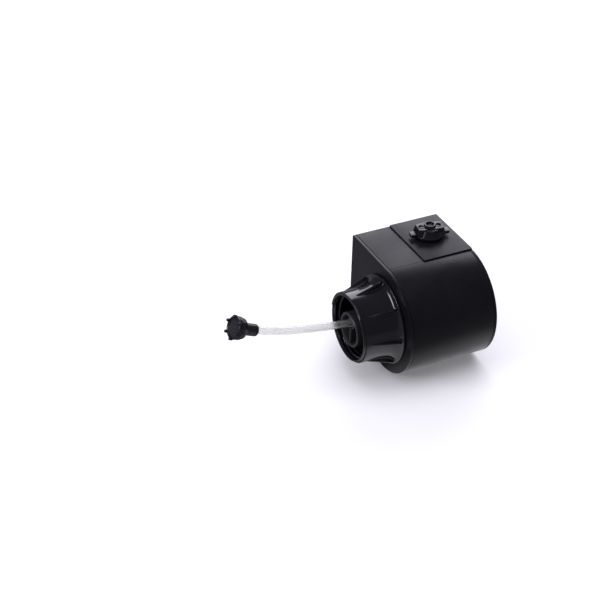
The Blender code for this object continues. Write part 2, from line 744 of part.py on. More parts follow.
# ---------------------------------------------------------------- motor and reduction
PUMP_AXIS = (4.0, -6.0)
DRIVE_MODULE = 0.8
PINION_TEETH = 11
GEAR_TEETH = 44
DRIVE_BACKLASH = 0.16
GEAR_FRONT_Y = -10.2
MOTOR_AXIS = (PUMP_AXIS[0] + DRIVE_MODULE * (PINION_TEETH + GEAR_TEETH) / 2, PUMP_AXIS[1])
MOTOR_R = 12.2
BRACKET_Y = (-13.0, -11.0)
MOUNT_Y = BRACKET_Y[0] - GAP  # rear of the motor can's body and of the pump body
EARS = ((4.0, 14.5), (4.0, -16.5))  # screw places above and below the pump
EAR_BORE_R = 1.3

# (radius, y) round each turned piece.
CAN_PROFILE = (
    (1.4, -12.3), (3.0, -12.3), (3.0, MOUNT_Y), (11.6, MOUNT_Y), (MOTOR_R, -13.9),
    (MOTOR_R, -43.0), (11.4, -43.0), (11.4, -14.3), (1.4, -14.3),
)
END_CAP_PROFILE = (
    (1.4, -46.0), (1.4, -41.0), (11.1, -41.0), (11.1, -43.3), (MOTOR_R, -43.3),
    (11.6, -45.0), (4.0, -45.2), (4.0, -46.0),
)
ARMATURE_PROFILE = (
    (1.3, -38.5), (5.0, -38.5), (5.0, -35.0), (9.4, -33.5), (9.4, -18.0), (1.3, -18.0),
)
# (x, z) round the bracket plate.
BRACKET_OUTLINE = (
    (-18.5, 4.0), (-10.0, -25.0), (30.0, -25.0), (37.3, -19.0), (37.3, 15.0),
    (31.0, 18.0), (-18.5, 18.0),
)


def build_motor():
    place = along("Y", MOTOR_AXIS)
    turned("motor_can", CAN_PROFILE, STEEL, sides=24, place=place)
    turned("motor_end_cap", END_CAP_PROFILE, BLACK, sides=20, place=place)
    turned("motor_armature", ARMATURE_PROFILE, COPPER, sides=16, place=place)
    rod("motor_shaft", 1.0, (-45.5, -5.4), MOTOR_AXIS, STEEL, sides=14)


def build_reduction():
    """The gear shows a tooth space to the pinion, the pinion a tooth to the gear."""
    teeth = gear_outline(
        DRIVE_MODULE, GEAR_TEETH, PUMP_AXIS, DRIVE_BACKLASH, phase=math.pi / GEAR_TEETH
    )
    outlines = [teeth, circle(1.8, PUMP_AXIS, 14)]
    slab("reduction_gear", outlines, (GEAR_FRONT_Y, -6.2), NATURAL)
    teeth = gear_outline(
        DRIVE_MODULE, PINION_TEETH, MOTOR_AXIS, DRIVE_BACKLASH,
        phase=math.pi, addendum=0.8, dedendum=1.3,
    )
    outlines = [teeth, circle(1.3, MOTOR_AXIS, 12)]
    slab("motor_pinion", outlines, (GEAR_FRONT_Y, -5.8), STEEL)


def build_bracket():
    outlines = [
        BRACKET_OUTLINE,
        circle(4.6, PUMP_AXIS),
        circle(3.3, MOTOR_AXIS),
        *(circle(EAR_BORE_R, at, 10) for at in EARS),
        *(circle(1.4, at, 10) for at in BRACKET_BOSSES),
    ]
    slab("drive_bracket", outlines, BRACKET_Y, STEEL)
    for i, at in enumerate(BRACKET_BOSSES):
        screw("bracket", i, at, shank=(1.1, (-14.0, -5.5)), head=(2.4, (-15.0, MOUNT_Y)))


# ---------------------------------------------------------------- gear pump
ROTOR_MODULE = 1.0
ROTOR_TEETH = 10
ROTOR_BACKLASH = 0.30
UPPER_AXIS = (PUMP_AXIS[0], PUMP_AXIS[1] + 10.1)
ROTOR_Y = (-27.4, -19.0)
PUMP_R = 8.6
PUMP_Y = (-27.7, MOUNT_Y)
COVER_Y = (-31.0, -28.0)
EAR_R = 2.9
PORTS_X = (PUMP_AXIS[0] - 4.5, PUMP_AXIS[0] + 4.5)
PORTS_Z = (PUMP_AXIS[1] + UPPER_AXIS[1]) / 2
# Cuts in the pump body: name, radius, y span, axis, sides.
PUMP_CUTS = (
    ("rotor_chamber_1", 6.3, (-28.0, ROTOR_Y[1] + GAP), PUMP_AXIS, 24),
    ("rotor_chamber_2", 6.3, (-28.0, ROTOR_Y[1] + GAP), UPPER_AXIS, 24),
    ("pump_shaft_bore", 1.8, (-20.0, -12.0), PUMP_AXIS, 14),
    ("seal_pocket", 4.2, (-15.4, -12.0), PUMP_AXIS, 20),
    ("driven_pin_bore", 1.5, (-20.0, -15.2), UPPER_AXIS, 12),
    *((f"ear_bore_{i}", EAR_BORE_R, (-30.0, -12.0), at, 10) for i, at in enumerate(EARS)),
)


def eared_stadium(name, ear_name, span):
    obj = slab(name, [stadium(PUMP_R, PUMP_AXIS, UPPER_AXIS)], span, NATURAL)
    for i, at in enumerate(EARS):
        join(obj, rod(f"{ear_name}_{i}", EAR_R, span, at, sides=16))
    return obj


def build_pump_body():
    pump = eared_stadium("pump_body", "pump_ear", PUMP_Y)
    for name, radius, span, at, sides in PUMP_CUTS:
        cut(pump, rod(name, radius, span, at, sides=sides))


def build_pump_cover():
    cover = eared_stadium("pump_cover", "cover_ear", COVER_Y)
    for i, x in enumerate(PORTS_X):
        join(cover, barb(f"pump_barb_{i}", (x, PORTS_Z), -30.0, -39.5))
    for i, x in enumerate(PORTS_X):
        cut(cover, rod(f"pump_port_{i}", 1.3, (-41.0, -27.0), (x, PORTS_Z)))
    for i, at in enumerate(EARS):
        cut(cover, rod(f"cover_ear_bore_{i}", EAR_BORE_R, (-32.0, -27.0), at, sides=10))
        screw("pump", i, at, shank=(1.0, (-32.0, -11.4)), head=(2.2, (-33.0, -31.3)))


def build_shaft():
    profile = [(1.8, -15.1), (1.8, -13.5), (3.9, -13.5), (3.9, -15.1)]
    turned("shaft_seal", profile, RUBBER, sides=14, place=along("Y", PUMP_AXIS))
    rod("pump_drive_shaft", 1.5, (ROTOR_Y[0], -4.6), PUMP_AXIS, STEEL, sides=16)
    rod("driven_rotor_pin", 1.2, (ROTOR_Y[0], -15.6), UPPER_AXIS, STEEL)


def build_rotor(name, axis, phase, bore):
    teeth = gear_outline(ROTOR_MODULE, ROTOR_TEETH, axis, ROTOR_BACKLASH, phase)
    slab(name, [teeth, circle(bore, axis, 12)], ROTOR_Y, NATURAL)


# ---------------------------------------------------------------- hoses, board and wiring
HOSE_R = 3.8
HOSE_BORE_R = 3.0
HOSE_END_Y = COVER_Y[0] - GAP
# (x, y, z) stations, inlet from the insert to the pump, outlet from the pump to the nozzle.
INLET_STATIONS = (
    (0, INSERT_BACK_Y + GAP, PORT_Z), (0, -66.0, PORT_Z), (0, -60.5, PORT_Z),
    (0, -55.0, 3.0), (-0.3, -48.0, -0.2), (PORTS_X[0], -41.5, PORTS_Z),
    (PORTS_X[0], -36.0, PORTS_Z), (PORTS_X[0], HOSE_END_Y, PORTS_Z),
)
OUTLET_STATIONS = (
    (PORTS_X[1], HOSE_END_Y, PORTS_Z), (PORTS_X[1], -36.0, PORTS_Z),
    (PORTS_X[1], -41.5, PORTS_Z), (10.0, -48.5, 2.5), (3.0, -56.0, 15.5),
    (-12.0, -54.0, 21.5), (-26.0, -42.0, 16.5), (-29.9, -27.5, 18.0),
    (*NOZZLE, 28.0), (*NOZZLE, 32.5), (*NOZZLE, 36.6),
)
# (x, y, z) stations from the motor to the board.
LEAD_1_STATIONS = (
    (21.5, -46.5, 0), (18, -50, 8), (8, -46, 25), (-12, -30, 32), (-22, -15, 28), (-24, -12.0, 24),
)
LEAD_2_STATIONS = (
    (30.5, -46.5, 0), (29, -50, 11), (17, -45, 29), (-9, -28, 36), (-22, -15, 33), (-26, -12.0, 28),
)
BUTTON_BACK_Y = -0.2
# (radius, y) round the button.
BUTTON_PROFILE = (
    (0, -5.2), (7.4, -5.2), (7.4, -2.9), (6.0, -2.9), (6.0, -0.5),
    (5.6, BUTTON_BACK_Y), (0, BUTTON_BACK_Y),
)


def build_hoses():
    for name, stations, steps in (
        ("inlet_hose", INLET_STATIONS, 2),
        ("outlet_hose", OUTLET_STATIONS, 3),
    ):
        pipe(name, smooth_path(stations, steps), HOSE_R, HOSE_BORE_R, HOSE)


def build_board():
    box("circuit_board", (-48.0, -20.0), (-10.4, -8.8), (-16.0, 32.0), BOARD)
    x, z = (around(middle, 3.0) for middle in BUTTON)
    switch = box("tact_switch", x, (-8.5, -7.3), z, BLACK)
    join(switch, rod("switch_plunger", 1.7, (-7.5, -6.7), BUTTON))


def build_leads():
    for name, mat, stations in (
        ("motor_lead_1", RED, LEAD_1_STATIONS),
        ("motor_lead_2", BLACK, LEAD_2_STATIONS),
    ):
        swept(name, smooth_path(stations, 3), 0.8, mat, resolution=1)


def build_button():
    turned("power_button", BUTTON_PROFILE, GLOSS, sides=20, place=along("Y", BUTTON))


# ---------------------------------------------------------------- moving groups
# Empty name: its place and the pieces that move with it.
GROUPS = {
    "collar_axis": ((0, COLLAR_BASE_Y, 0), ["collar"]),
    "nozzle_axis": ((*NOZZLE, 50.7), ["nozzle_cap"]),
    "pump_axis": (
        (PUMP_AXIS[0], ROTOR_Y[0], PUMP_AXIS[1]),
        ["drive_rotor", "pump_drive_shaft", "reduction_gear"],
    ),
    "driven_axis": ((UPPER_AXIS[0], ROTOR_Y[0], UPPER_AXIS[1]), ["driven_rotor"]),
    "motor_axis": (
        (MOTOR_AXIS[0], MOUNT_Y, MOTOR_AXIS[1]),
        ["motor_shaft", "motor_armature", "motor_pinion"],
    ),
    "button_travel": ((BUTTON[0], BUTTON_BACK_Y, BUTTON[1]), ["power_button"]),
    "door_travel": ((sum(DOOR_X) / 2, -39.5, DOOR_Z[0]), ["battery_door"]),
    "ball_travel": (tuple(BALL), ["check_ball"]),
}


def add_empty(name, size):
    empty = bpy.data.objects.new(name, None)
    empty.empty_display_size = size
    PARTS.objects.link(empty)
    return empty


def parent_pieces():
    """Hang every piece on the root, or on its group's empty with its origin there."""
    root = add_empty("pump_head_origin", 0.02)
    holders = {}
    for group, (at, names) in GROUPS.items():
        empty = add_empty(group, 0.01)
        empty.location = Vector(at) * MM
        empty.parent = root
        for name in names:
            holders[name] = empty
    for piece in PARTS.objects:
        if piece.type != "MESH":
            continue
        piece.parent = holders.get(piece.name, root)
        piece.data.transform(Matrix.Translation(-piece.parent.location))
        piece.data.shade_smooth()
        piece.data.set_sharp_from_angle(angle=math.radians(35))


build_front_panel()
build_shell()
build_rear_cover()
build_rear_screws()
build_nozzle_plate()
build_collar()
build_insert()
build_insert_rings()
build_suction_tube()
build_strainer()
build_check_ball()
build_grille()
build_nozzle_stem()
build_nozzle_cap()
build_battery_door()
build_battery_tray()
build_cells()
for contact in CONTACTS:
    build_contact(*contact)
build_motor()
build_reduction()
build_bracket()
build_pump_body()
build_pump_cover()
build_shaft()
# A tooth of the drive rotor points up into a tooth space of the driven one.
build_rotor("drive_rotor", PUMP_AXIS, phase=math.pi / 2, bore=1.8)
build_rotor("driven_rotor", UPPER_AXIS, phase=-math.pi / 2 + math.pi / ROTOR_TEETH, bore=1.5)
build_hoses()
build_board()
build_leads()
build_button()
parent_pieces()
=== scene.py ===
"""Looks for the motorised pump head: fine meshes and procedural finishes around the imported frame.

The head's axis runs along Y. The collar, suction tube and strainer reach out of the front (-Y),
the rear cover closes the housing at y = 0. The nozzle is on top (+Z), the battery door
underneath (-Z), and the housing is flat on its -X side and round on its +X side.
Shapes are drawn in millimetres. Materials, lights and camera are in metres.
"""

import json
import math
from functools import cached_property

import bmesh
import bpy
import numpy as np
from mathutils import Matrix, Quaternion, Vector

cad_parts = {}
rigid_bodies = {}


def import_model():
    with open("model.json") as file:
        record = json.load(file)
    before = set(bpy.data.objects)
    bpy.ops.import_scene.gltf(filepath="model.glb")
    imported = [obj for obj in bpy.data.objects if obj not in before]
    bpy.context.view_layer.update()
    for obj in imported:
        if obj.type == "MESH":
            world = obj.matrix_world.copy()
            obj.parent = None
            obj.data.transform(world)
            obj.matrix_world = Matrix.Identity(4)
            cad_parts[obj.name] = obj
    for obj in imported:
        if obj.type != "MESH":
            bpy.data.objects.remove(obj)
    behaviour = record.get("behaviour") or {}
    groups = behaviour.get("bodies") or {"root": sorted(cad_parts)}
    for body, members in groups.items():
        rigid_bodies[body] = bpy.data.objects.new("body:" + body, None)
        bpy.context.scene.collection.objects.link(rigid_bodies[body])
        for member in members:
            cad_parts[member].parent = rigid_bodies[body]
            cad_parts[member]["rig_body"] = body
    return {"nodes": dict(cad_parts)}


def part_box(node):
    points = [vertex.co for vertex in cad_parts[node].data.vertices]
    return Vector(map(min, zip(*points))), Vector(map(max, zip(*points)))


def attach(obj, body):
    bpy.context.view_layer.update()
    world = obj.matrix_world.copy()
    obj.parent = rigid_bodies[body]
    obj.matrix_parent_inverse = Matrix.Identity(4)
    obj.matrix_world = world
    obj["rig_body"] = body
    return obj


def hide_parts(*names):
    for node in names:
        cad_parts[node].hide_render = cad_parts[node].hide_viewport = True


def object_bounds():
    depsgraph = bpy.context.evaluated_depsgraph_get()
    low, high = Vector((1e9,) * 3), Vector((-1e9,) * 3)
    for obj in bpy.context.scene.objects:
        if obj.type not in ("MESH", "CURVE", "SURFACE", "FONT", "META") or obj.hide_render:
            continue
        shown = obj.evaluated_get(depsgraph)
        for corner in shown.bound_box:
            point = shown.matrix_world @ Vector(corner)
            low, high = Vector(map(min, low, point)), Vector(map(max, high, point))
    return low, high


for old in list(bpy.data.objects):
    bpy.data.objects.remove(old, do_unlink=True)

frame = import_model()
CAD_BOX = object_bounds()
MM = 0.001
TAU = 2 * math.pi
Y_AXIS = (0, 1, 0)
Z_AXIS = (0, 0, 1)


# ------------------------------------------------------------------ shader building
class Shader:
    """Builds the node tree of a material or world step by step, around its main node."""

    def __init__(self, block, main="Principled BSDF"):
        block.use_nodes = True
        self.tree = block.node_tree
        self.main = self.tree.nodes[main]

    @cached_property
    def coord(self):
        return self.node("ShaderNodeTexCoord").outputs["Object"]

    def feed(self, socket, value):
        """Links a socket, or sets a value. Colours are given as (r, g, b)."""
        if isinstance(value, bpy.types.NodeSocket):
            self.tree.links.new(value, socket)
        elif socket.type == "RGBA":
            socket.default_value = (*value, 1.0)
        else:
            socket.default_value = value

    def node(self, kind, inputs=None, **settings):
        made = self.tree.nodes.new(kind)
        for key, value in settings.items():
            setattr(made, key, value)
        for key, value in (inputs or {}).items():
            self.feed(made.inputs[key], value)
        return made

    def set(self, **values):
        for key, value in values.items():
            self.feed(self.main.inputs[key.replace("_", " ")], value)

    def noise(self, scale, detail=3.0, rough=0.55, vector=None):
        inputs = {"Scale": scale, "Detail": detail, "Roughness": rough}
        inputs["Vector"] = vector or self.coord
        return self.node("ShaderNodeTexNoise", inputs).outputs["Fac"]

    def voronoi(self, scale):
        inputs = {"Scale": scale, "Vector": self.coord}
        return self.node("ShaderNodeTexVoronoi", inputs).outputs["Distance"]

    def stretch(self, scale, rotation=(0, 0, 0)):
        inputs = {"Scale": scale, "Rotation": rotation, "Vector": self.coord}
        return self.node("ShaderNodeMapping", inputs).outputs[0]

    def ramp(self, value, over, to=(0.0, 1.0)):
        """Maps the range over onto the range to, clamped."""
        inputs = dict(enumerate((value, *over, *to)))
        return self.node("ShaderNodeMapRange", inputs, clamp=True).outputs[0]

    def mix(self, factor, start, end):
        inputs = {0: factor, 6: start, 7: end}  # 6 and 7 are the colour sockets
        return self.node("ShaderNodeMix", inputs, data_type="RGBA").outputs[2]

    def math(self, operation, first, second, amount=None):
        """A math node. With an amount, second is first multiplied by it."""
        if amount is not None:
            second = self.math("MULTIPLY", second, amount)
        return self.node("ShaderNodeMath", {0: first, 1: second}, operation=operation).outputs[0]

    def tint(self, colour, towards, where, amount):
        return self.mix(self.math("MULTIPLY", where, amount), colour, towards)

    def bump(self, height, strength, distance, normal=None):
        inputs = {"Strength": strength, "Distance": distance, "Height": height}
        if normal is not None:
            inputs["Normal"] = normal
        return self.node("ShaderNodeBump", inputs).outputs[0]

    def edge(self, radius):
        """1 along convex and concave edges within this radius."""
        bevel = self.node("ShaderNodeBevel", {"Radius": radius}, samples=4)
        normal = self.node("ShaderNodeNewGeometry").outputs["Normal"]
        inputs = {0: bevel.outputs[0], 1: normal}
        dot = self.node("ShaderNodeVectorMath", inputs, operation="DOT_PRODUCT")
        bend = self.math("SUBTRACT", 1.0, dot.outputs["Value"])
        return self.ramp(bend, over=(0.02, 0.35))

    def axis(self, index):
        return self.node("ShaderNodeSeparateXYZ", {0: self.coord}).outputs[index]


def new_material(name):
    material = bpy.data.materials.new(name)
    return material, Shader(material)


def scaled(colour, factor, lift=0.0):
    return tuple(min(1.0, c * factor + lift) for c in colour)


def around(middle, below, above):
    return middle - below, middle + above


# ------------------------------------------------------------------ kinds of finish
def moulded(
    name,
    base,
    rough,
    grain=2600.0,
    grain_depth=0.00004,
    grain_strength=0.35,
    spread=0.07,
    edge_wear_and_highlight=0.5,
    specular=0.5,
    flow=0.12,
    edge_radius=0.0006,
):
    """Moulded plastic: spark grain, slow flow waviness, fine rubs, dust and lighter edges, partly
    worn and partly a painted edge highlight.

    grain is the noise scale, spread the slow change in roughness, wear the lightening of
    edges (worn edges plus a painted edge highlight) and flow the strength of the waviness.
    """
    material, mat = new_material(name)
    slow = mat.noise(scale=38.0, detail=2.0, rough=0.5)
    fine = mat.noise(scale=grain, detail=2.0, rough=0.6)
    cells = mat.voronoi(scale=grain * 0.55)
    along = mat.stretch(scale=(1.0, 0.06, 0.35), rotation=(0.3, 0.2, 0.9))
    rub = mat.noise(scale=900.0, detail=4.0, rough=0.65, vector=along)
    rub = mat.ramp(rub, over=(0.60, 0.74))
    dust = mat.ramp(mat.voronoi(scale=520.0), over=(0.0, 0.07), to=(1.0, 0.0))
    patches = mat.ramp(mat.noise(scale=70.0, detail=2.0), over=(0.52, 0.72))
    dust = mat.math("MULTIPLY", dust, patches)
    # Patchy edge mask: worn edges that also stand in for a painted edge highlight.
    breaks = mat.ramp(mat.noise(scale=260.0, detail=4.0, rough=0.7), over=(0.30, 0.66))
    edge = mat.math("MULTIPLY", mat.edge(edge_radius), breaks)

    light = scaled(base, 2.2, lift=0.012)
    colour = mat.mix(mat.ramp(slow, over=(0.35, 0.65)), scaled(base, 0.82), base)
    colour = mat.tint(colour, light, where=rub, amount=0.16)
    # Lightens the edges: partly worn edges, partly a painted edge highlight.
    colour = mat.tint(colour, light, where=edge, amount=edge_wear_and_highlight)
    colour = mat.tint(colour, (0.30, 0.29, 0.28), where=dust, amount=0.22)

    roughness = mat.ramp(slow, over=(0.3, 0.7), to=around(rough, spread, spread))
    grain_rough = mat.ramp(fine, over=(0.3, 0.7), to=(-0.03, 0.03))
    roughness = mat.math("ADD", roughness, grain_rough)
    roughness = mat.math("SUBTRACT", roughness, rub, amount=0.05)
    roughness = mat.math("SUBTRACT", roughness, edge, amount=0.08)

    height = mat.math("ADD", fine, cells, amount=0.5)
    waves = mat.bump(slow, strength=flow, distance=0.0008)
    normal = mat.bump(height, strength=grain_strength, distance=grain_depth, normal=waves)
    mat.set(Base_Color=colour, Roughness=roughness, Normal=normal, Specular_IOR_Level=specular)
    return material


def metal(name, base, rough, direction=(1.0, 0.05, 1.0), scale=1400.0):
    """Plated or drawn metal: fine lines along one direction, slow tone change, dulled spots."""
    material, mat = new_material(name)
    lines = mat.noise(scale=scale, rough=0.6, vector=mat.stretch(scale=direction))
    slow = mat.noise(scale=90.0)
    spots = mat.ramp(mat.noise(scale=420.0, detail=4.0, rough=0.7), over=(0.58, 0.72))
    colour = mat.mix(mat.ramp(slow, over=(0.3, 0.7)), scaled(base, 0.8), base)
    colour = mat.tint(colour, scaled(base, 0.55), where=spots, amount=0.25)
    roughness = mat.ramp(lines, over=(0.3, 0.7), to=around(rough, 0.07, 0.09))
    mat.set(
        Base_Color=colour,
        Metallic=1.0,
        Roughness=mat.math("ADD", roughness, spots, amount=0.12),
        Normal=mat.bump(lines, strength=0.18, distance=0.00003),
    )
    return material


def clear_plastic(name, base, rough, transmission, subsurface, ior):
    """Milky or clear tube plastic with drawn lines along its length and slight haze."""
    material, mat = new_material(name)
    haze = mat.noise(scale=160.0, rough=0.6)
    along = mat.stretch(scale=(1.0, 0.04, 1.0))
    lines = mat.noise(scale=1500.0, detail=2.0, rough=0.6, vector=along)
    mat.set(
        Base_Color=mat.mix(mat.ramp(haze, over=(0.35, 0.65)), scaled(base, 0.96), base),
        Roughness=mat.ramp(haze, over=(0.3, 0.7), to=around(rough, 0.04, 0.06)),
        Normal=mat.bump(lines, strength=0.04, distance=0.00002),
        Transmission_Weight=transmission,
        Subsurface_Weight=subsurface,
        Subsurface_Scale=0.002,
        Subsurface_Radius=(1.0, 1.0, 1.05),
        IOR=ior,
    )
    return material


def rubber(name, base, rough):
    """Matt rubber with a fine tooth and a pale bloom in patches."""
    material, mat = new_material(name)
    fine = mat.noise(scale=3000.0, rough=0.7)
    bloom = mat.ramp(mat.noise(scale=140.0, detail=4.0, rough=0.6), over=(0.45, 0.75))
    mat.set(
        Base_Color=mat.tint(base, scaled(base, 1.8, lift=0.015), where=bloom, amount=0.5),
        Roughness=mat.ramp(fine, over=(0.3, 0.7), to=around(rough, 0.08, 0.1)),
        Normal=mat.bump(fine, strength=0.4, distance=0.00004),
    )
    return material


def cell_wrap(name, first, bands):
    """Shrink wrap on a cell, in bands of colour along X. A band is (its start in x, colour)."""
    blur = 0.00008
    material, mat = new_material(name)
    place = mat.axis(0)
    colour = first
    for start, tone in bands:
        colour = mat.mix(mat.ramp(place, over=around(start, blur, blur)), colour, tone)
    along = mat.stretch(scale=(0.12, 1.0, 1.0))
    wrinkle = mat.noise(scale=600.0, rough=0.6, vector=along)
    scuff = mat.ramp(mat.noise(scale=900.0, detail=4.0, rough=0.7), over=(0.62, 0.75))
    mat.set(
        Base_Color=mat.tint(colour, (0.35, 0.36, 0.34), where=scuff, amount=0.3),
        Roughness=mat.ramp(wrinkle, over=(0.3, 0.7), to=around(0.3, 0.08, 0.1)),
        Normal=mat.bump(wrinkle, strength=0.25, distance=0.00008),
    )
    return material


def circuit(name):
    """Green board: a brick pattern for the tracks and scattered tinned pads."""
    material, mat = new_material(name)
    inputs = {
        "Vector": mat.stretch(scale=(1.0, 1.0, 1.0), rotation=(math.pi / 2, 0, 0)),
        "Scale": 90.0,
        "Mortar Size": 0.035,
        "Color1": (0.010, 0.075, 0.030),
        "Color2": (0.012, 0.095, 0.038),
        "Mortar": (0.03, 0.17, 0.07),
    }
    grid = mat.node("ShaderNodeTexBrick", inputs).outputs
    weave = mat.noise(scale=2200.0, detail=2.0)
    pads = mat.ramp(mat.voronoi(scale=210.0), over=(0.0, 0.12), to=(1.0, 0.0))
    mat.set(
        Base_Color=mat.tint(grid["Color"], (0.66, 0.62, 0.5), where=pads, amount=0.9),
        Roughness=mat.ramp(weave, over=(0.3, 0.7), to=(0.30, 0.44)),
        Normal=mat.bump(grid["Fac"], strength=0.3, distance=0.00005),
        Metallic=mat.math("MULTIPLY", pads, 0.8),
    )
    return material


def winding(name):
    """Copper wire laid side by side along Y."""
    material, mat = new_material(name)
    inputs = {"Scale": 900.0, "Distortion": 1.5, "Vector": mat.coord}
    wave = mat.node("ShaderNodeTexWave", inputs, wave_type="BANDS", bands_direction="Y")
    wire = wave.outputs["Fac"]
    mat.set(
        Base_Color=mat.mix(wire, (0.28, 0.10, 0.035), (0.62, 0.27, 0.11)),
        Metallic=0.85,
        Roughness=mat.ramp(wire, over=(0.0, 1.0), to=(0.42, 0.26)),
        Normal=mat.bump(wire, strength=0.6, distance=0.0001),
    )
    return material


# ------------------------------------------------------------------ materials
HOUSING_BLACK = (0.0080, 0.0080, 0.0104)
SATIN = moulded("satin_black_housing", HOUSING_BLACK, rough=0.33, specular=0.22)
SATIN_INNER = moulded("satin_black_inner", (0.014, 0.014, 0.016), rough=0.52, specular=0.35)
SATIN_PLATE = moulded(
    "satin_black_plate", HOUSING_BLACK, rough=0.35, grain=3000.0, specular=0.185
)
GLOSS = moulded(
    "gloss_black_collar",
    (0.0052, 0.0052, 0.0075),
    rough=0.15,
    grain=1800.0,
    grain_depth=0.00002,
    grain_strength=0.12,
    spread=0.05,
    edge_wear_and_highlight=0.35,
    specular=0.55,
    flow=0.22,
)
INSERT_BLACK = moulded(
    "semi_gloss_insert", (0.026, 0.026, 0.030), rough=0.34, grain=2200.0, grain_strength=0.2
)
KNOB_BLACK = moulded(
    "semi_gloss_nozzle",
    (0.0055, 0.0055, 0.0075),
    rough=0.22,
    grain=2400.0,
    grain_strength=0.15,
    spread=0.05,
    edge_wear_and_highlight=0.4,
    edge_radius=0.0004,
)
STRAINER_GREY = moulded(
    "dark_grey_strainer",
    (0.0085, 0.009, 0.0125),
    rough=0.33,
    grain=3200.0,
    grain_strength=0.3,
    edge_wear_and_highlight=0.7,
    edge_radius=0.0004,
)
TUBE_CLEAR = clear_plastic(
    "milky_tube",
    (0.892, 0.892, 0.878),
    rough=0.20,
    transmission=0.945,
    subsurface=0.15,
    ior=1.36,
)
HOSE_CLEAR = clear_plastic(
    "clear_hose", (0.78, 0.83, 0.82), rough=0.22, transmission=0.75, subsurface=0.1, ior=1.42
)
BLACK_RUBBER = rubber("black_rubber", (0.024, 0.024, 0.026), rough=0.72)
ACETAL = moulded(
    "natural_acetal", (0.68, 0.66, 0.60), rough=0.36, grain=2800.0, grain_strength=0.2, edge_wear_and_highlight=0.2
)
STEEL = metal("plated_steel", (0.60, 0.60, 0.58), rough=0.28)
CAN_STEEL = metal(
    "motor_can_steel", (0.52, 0.53, 0.53), rough=0.34, direction=(1.0, 0.03, 1.0), scale=900.0
)
NICKEL = metal("nickel_contact", (0.70, 0.66, 0.57), rough=0.25, direction=(1.0, 1.0, 0.05))
RED_LEAD = rubber("lead_red", (0.30, 0.014, 0.012), rough=0.45)
BLACK_LEAD = rubber("lead_black", (0.016, 0.016, 0.016), rough=0.45)
BLACK_NYLON = moulded("black_nylon", (0.015, 0.015, 0.016), rough=0.45)
BOARD = circuit("circuit_board")
COPPER = winding("armature_winding")
WRAP_GREY = (0.55, 0.55, 0.54)
WRAP_DARK = (0.015, 0.05, 0.03)
WRAP_GREEN = (0.02, 0.22, 0.10)
CELL_EVEN = cell_wrap(
    "cell_wrap_a",
    WRAP_GREY,
    ((-0.0515, WRAP_DARK), (-0.041, WRAP_GREEN), (-0.0052, WRAP_GREY)),
)
CELL_ODD = cell_wrap(
    "cell_wrap_b",
    WRAP_GREY,
    ((-0.0522, WRAP_GREEN), (-0.0165, WRAP_DARK), (-0.0058, WRAP_GREY)),
)
NYLON_MESH = moulded(
    "strainer_nylon_mesh",
    (0.047, 0.045, 0.057),
    rough=0.5,
    grain=3000.0,
    edge_wear_and_highlight=0.2,
    edge_radius=0.0001,
)


# ------------------------------------------------------------------ mesh helpers
# A shape is a (vertices, faces) pair in millimetres.
def new_object(name, shape, tidy=True):
    verts, faces = shape
    mesh = bpy.data.meshes.new(name)
    mesh.from_pydata([tuple(v) for v in np.asarray(verts, float) * MM], [], faces)
    if tidy:
        bm = bmesh.new()
        bm.from_mesh(mesh)
        bmesh.ops.remove_doubles(bm, verts=bm.verts, dist=1e-7)
        bmesh.ops.recalc_face_normals(bm, faces=bm.faces)
        bm.to_mesh(mesh)
        bm.free()
    obj = bpy.data.objects.new(name, mesh)
    bpy.context.scene.collection.objects.link(obj)
    return obj


def shade(mesh, sharp):
    """Smooth shading, with edges sharper than this many degrees kept hard."""
    mesh.shade_smooth()
    mesh.set_sharp_from_angle(angle=math.radians(sharp))


def piece(name, shape, mat, cad, body=None, sharp=38.0, tidy=True):
    """A finished piece that stands for one CAD node and rides on its body."""
    obj = new_object(name, shape, tidy)
    obj.data.materials.append(mat)
    shade(obj.data, sharp)
    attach(obj, body or frame["nodes"][cad]["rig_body"])
    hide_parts(cad)
    return obj


def tool(shape, place=None):
    """A temporary solid for cutting or joining, moved by the place matrix."""
    obj = new_object("tool", shape)
    if place is not None:
        obj.data.transform(place)
    return obj


def boolean(obj, parts, operation, sharp):
    """Applies the parts (shapes, or tools already placed) to the object and removes them."""
    tools = [part if isinstance(part, bpy.types.Object) else tool(part) for part in parts]
    for part in tools:
        modifier = obj.modifiers.new("boolean", "BOOLEAN")
        modifier.object, modifier.operation, modifier.solver = part, operation, "EXACT"
    bpy.context.view_layer.update()
    graph = bpy.context.evaluated_depsgraph_get()
    mesh = bpy.data.meshes.new_from_object(obj.evaluated_get(graph))
    obj.modifiers.clear()
    before = obj.data
    obj.data = mesh
    bpy.data.meshes.remove(before)
    for part in tools:
        bpy.data.objects.remove(part, do_unlink=True)
    shade(mesh, sharp)


def cut(obj, parts, sharp=38.0):
    boolean(obj, parts, "DIFFERENCE", sharp)


def join(obj, parts, sharp=38.0):
    boolean(obj, parts, "UNION", sharp)


def loft(rows, loop=True):
    """Quads over rows of points. Columns always close. The rows close too, or get end caps."""
    rows = [np.asarray(row, float) for row in rows]
    row_count, size = len(rows), len(rows[0])
    faces = []
    for i in range(row_count if loop else row_count - 1):
        here, there = i * size, ((i + 1) % row_count) * size
        for j in range(size):
            k = (j + 1) % size
            faces.append((here + j, here + k, there + k, there + j))
    if not loop:
        faces.append(tuple(range(size))[::-1])
        faces.append(tuple((row_count - 1) * size + j for j in range(size)))
    return np.concatenate(rows), faces


def combined(shapes):
    verts, faces = [], []
    for shape_verts, shape_faces in shapes:
        base = len(verts)
        verts.extend(shape_verts)
        faces.extend(tuple(i + base for i in face) for face in shape_faces)
    return verts, faces


